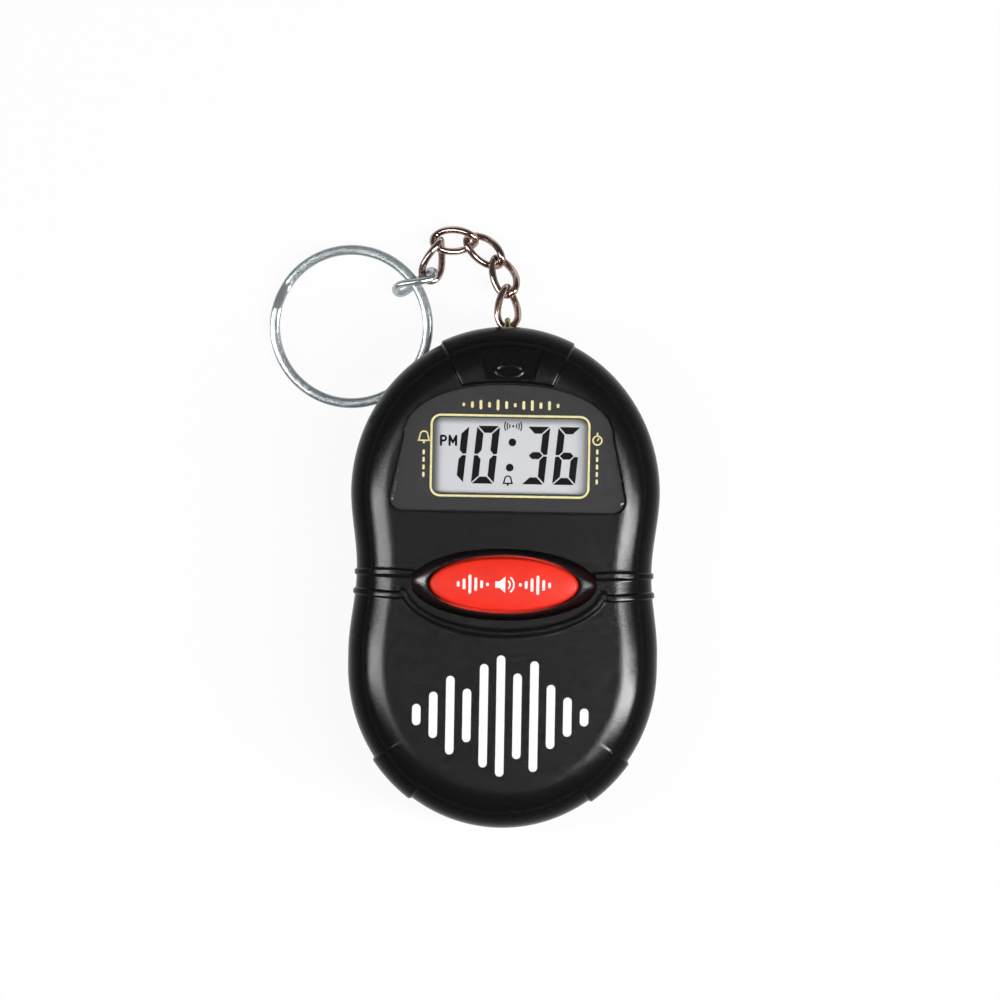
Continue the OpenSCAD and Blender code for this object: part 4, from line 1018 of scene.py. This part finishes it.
def ring_points():
    """Two turns about the origin: the wire climbs by its thickness in a smooth ramp before the first turn
    ends. Its section is a rectangle with quarter circles for corners."""
    a = np.arange(0, 720 - ring_ramp + 0.1, 1.5)
    level = smooth_step(a, 360 - ring_ramp, 360)
    mid = (ring_d - ring_wire_w) / 2
    t = np.radians(ring_start + a)
    z = (level - 0.5) * (ring_wire_t + ring_gap)
    section = round_box(ring_wire_w / 2, ring_wire_t / 2, ring_round, 6)
    r = mid + section[None, :, 0]
    points = np.stack([r * np.cos(t)[:, None], r * np.sin(t)[:, None], z[:, None] + section[None, :, 1]], -1)
    return points.reshape(-1, 3), tube_faces(len(a), len(section))


ring_lift = ring_d / 2 * math.sin(math.radians(ring_tilt)) + ring_wire_t + ring_gap / 2 + 0.02
points, faces = ring_points()
lie = turn_matrix("z", ring_high_side) @ turn_matrix("y", -ring_tilt) @ turn_matrix("z", -ring_high_side)
split_ring = mesh_piece("split_ring_wire", points @ lie.T + [*ring_centre, ring_lift], faces, nickel_ring,
                        "split_ring_body", "nickel", keep_apart=True)
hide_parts("split_ring")

bpy.context.view_layer.update()


# Camera
# It looks straight down from 2.3 m with a long lens, turned by the one degree that the clock lies off square.
camera_data = bpy.data.cameras.new("camera")
camera = bpy.data.objects.new("camera", camera_data)
bpy.context.scene.collection.objects.link(camera)
bpy.context.scene.camera = camera
view_x, view_y, view_width, lens_length, sensor_width = -0.75, 10.84, 140.0, 600.0, 36.0
camera_data.lens = lens_length
camera_data.sensor_width = sensor_width
camera.location = (view_x * MM, view_y * MM, (view_width * lens_length / sensor_width + face_z) * MM)
camera.rotation_euler = (0, 0, math.radians(1.0))
camera_data.clip_start, camera_data.clip_end = 0.01, 10


# Light and floor
# Two tall strip lamps left and right draw the soft lines along the case, and a small one high above lights
# the face. The room is dim. The floor is a white sheet, which the camera and all reflections see as white.
clock_middle = Vector((0, 5, 5))


def softbox(name, place, size, power):
    """A rectangular studio lamp in millimetres, turned towards the clock."""
    data = bpy.data.lights.new(name, "AREA")
    data.shape, data.size, data.size_y = "RECTANGLE", size[0] * MM, size[1] * MM
    data.energy = power
    lamp = bpy.data.objects.new(name, data)
    bpy.context.scene.collection.objects.link(lamp)
    lamp.rotation_mode = "QUATERNION"
    lamp.rotation_quaternion = (Vector(place) - clock_middle).to_track_quat("Z", "Y")
    lamp.location = [v * MM for v in place]


softbox("left_box", (-330, -20, 420), (60, 480), 1.2)
softbox("right_box", (330, -80, 420), (66, 500), 3.0)
softbox("high_box", (-40, 60, 3000), (380, 380), 0.03)

world = bpy.data.worlds.new("studio")
bpy.context.scene.world = world
world.use_nodes = True
sky = world.node_tree
height = node(sky, "SeparateXYZ", {"Vector": node(sky, "TexCoord").outputs["Generated"]})
room = node(sky, "ValToRGB", {"Fac": height.outputs["Z"]})
for stop, position, grey in zip(room.color_ramp.elements, (0.02, 0.1), (0.4, 0.06)):
    stop.position = position
    stop.color = (grey, grey, grey, 1)
sky.links.new(room.outputs["Color"], sky.nodes["Background"].inputs["Color"])

floor_white = finish("floor_white", (0.9, 0.9, 0.9), 0.9)
sheet = floor_white.node_tree
seen = node(sheet, "LightPath").outputs
looked_at = seen["Is Camera Ray"]
for ray in ("Is Glossy Ray", "Is Transmission Ray"):
    looked_at = node(sheet, "Math", {0: looked_at, 1: seen[ray]}, operation="MAXIMUM").outputs["Value"]
share = node(sheet, "Math", {0: looked_at, 1: 0.93}, operation="MULTIPLY").outputs["Value"]
matt = sheet.nodes["Principled BSDF"].outputs["BSDF"]
glow = node(sheet, "Emission").outputs["Emission"]
paper = node(sheet, "MixShader", {0: share, 1: matt, 2: glow}).outputs["Shader"]
sheet.links.new(paper, sheet.nodes["Material Output"].inputs["Surface"])
sheet_half, sheet_z = 2000, -0.02
sheet_corners = [(x * sheet_half, y * sheet_half, sheet_z) for x, y in ((-1, -1), (1, -1), (1, 1), (-1, 1))]
floor = mesh_piece("floor", sheet_corners, [[0, 1, 2, 3]], floor_white)

bpy.context.scene.view_settings.view_transform = "Standard"
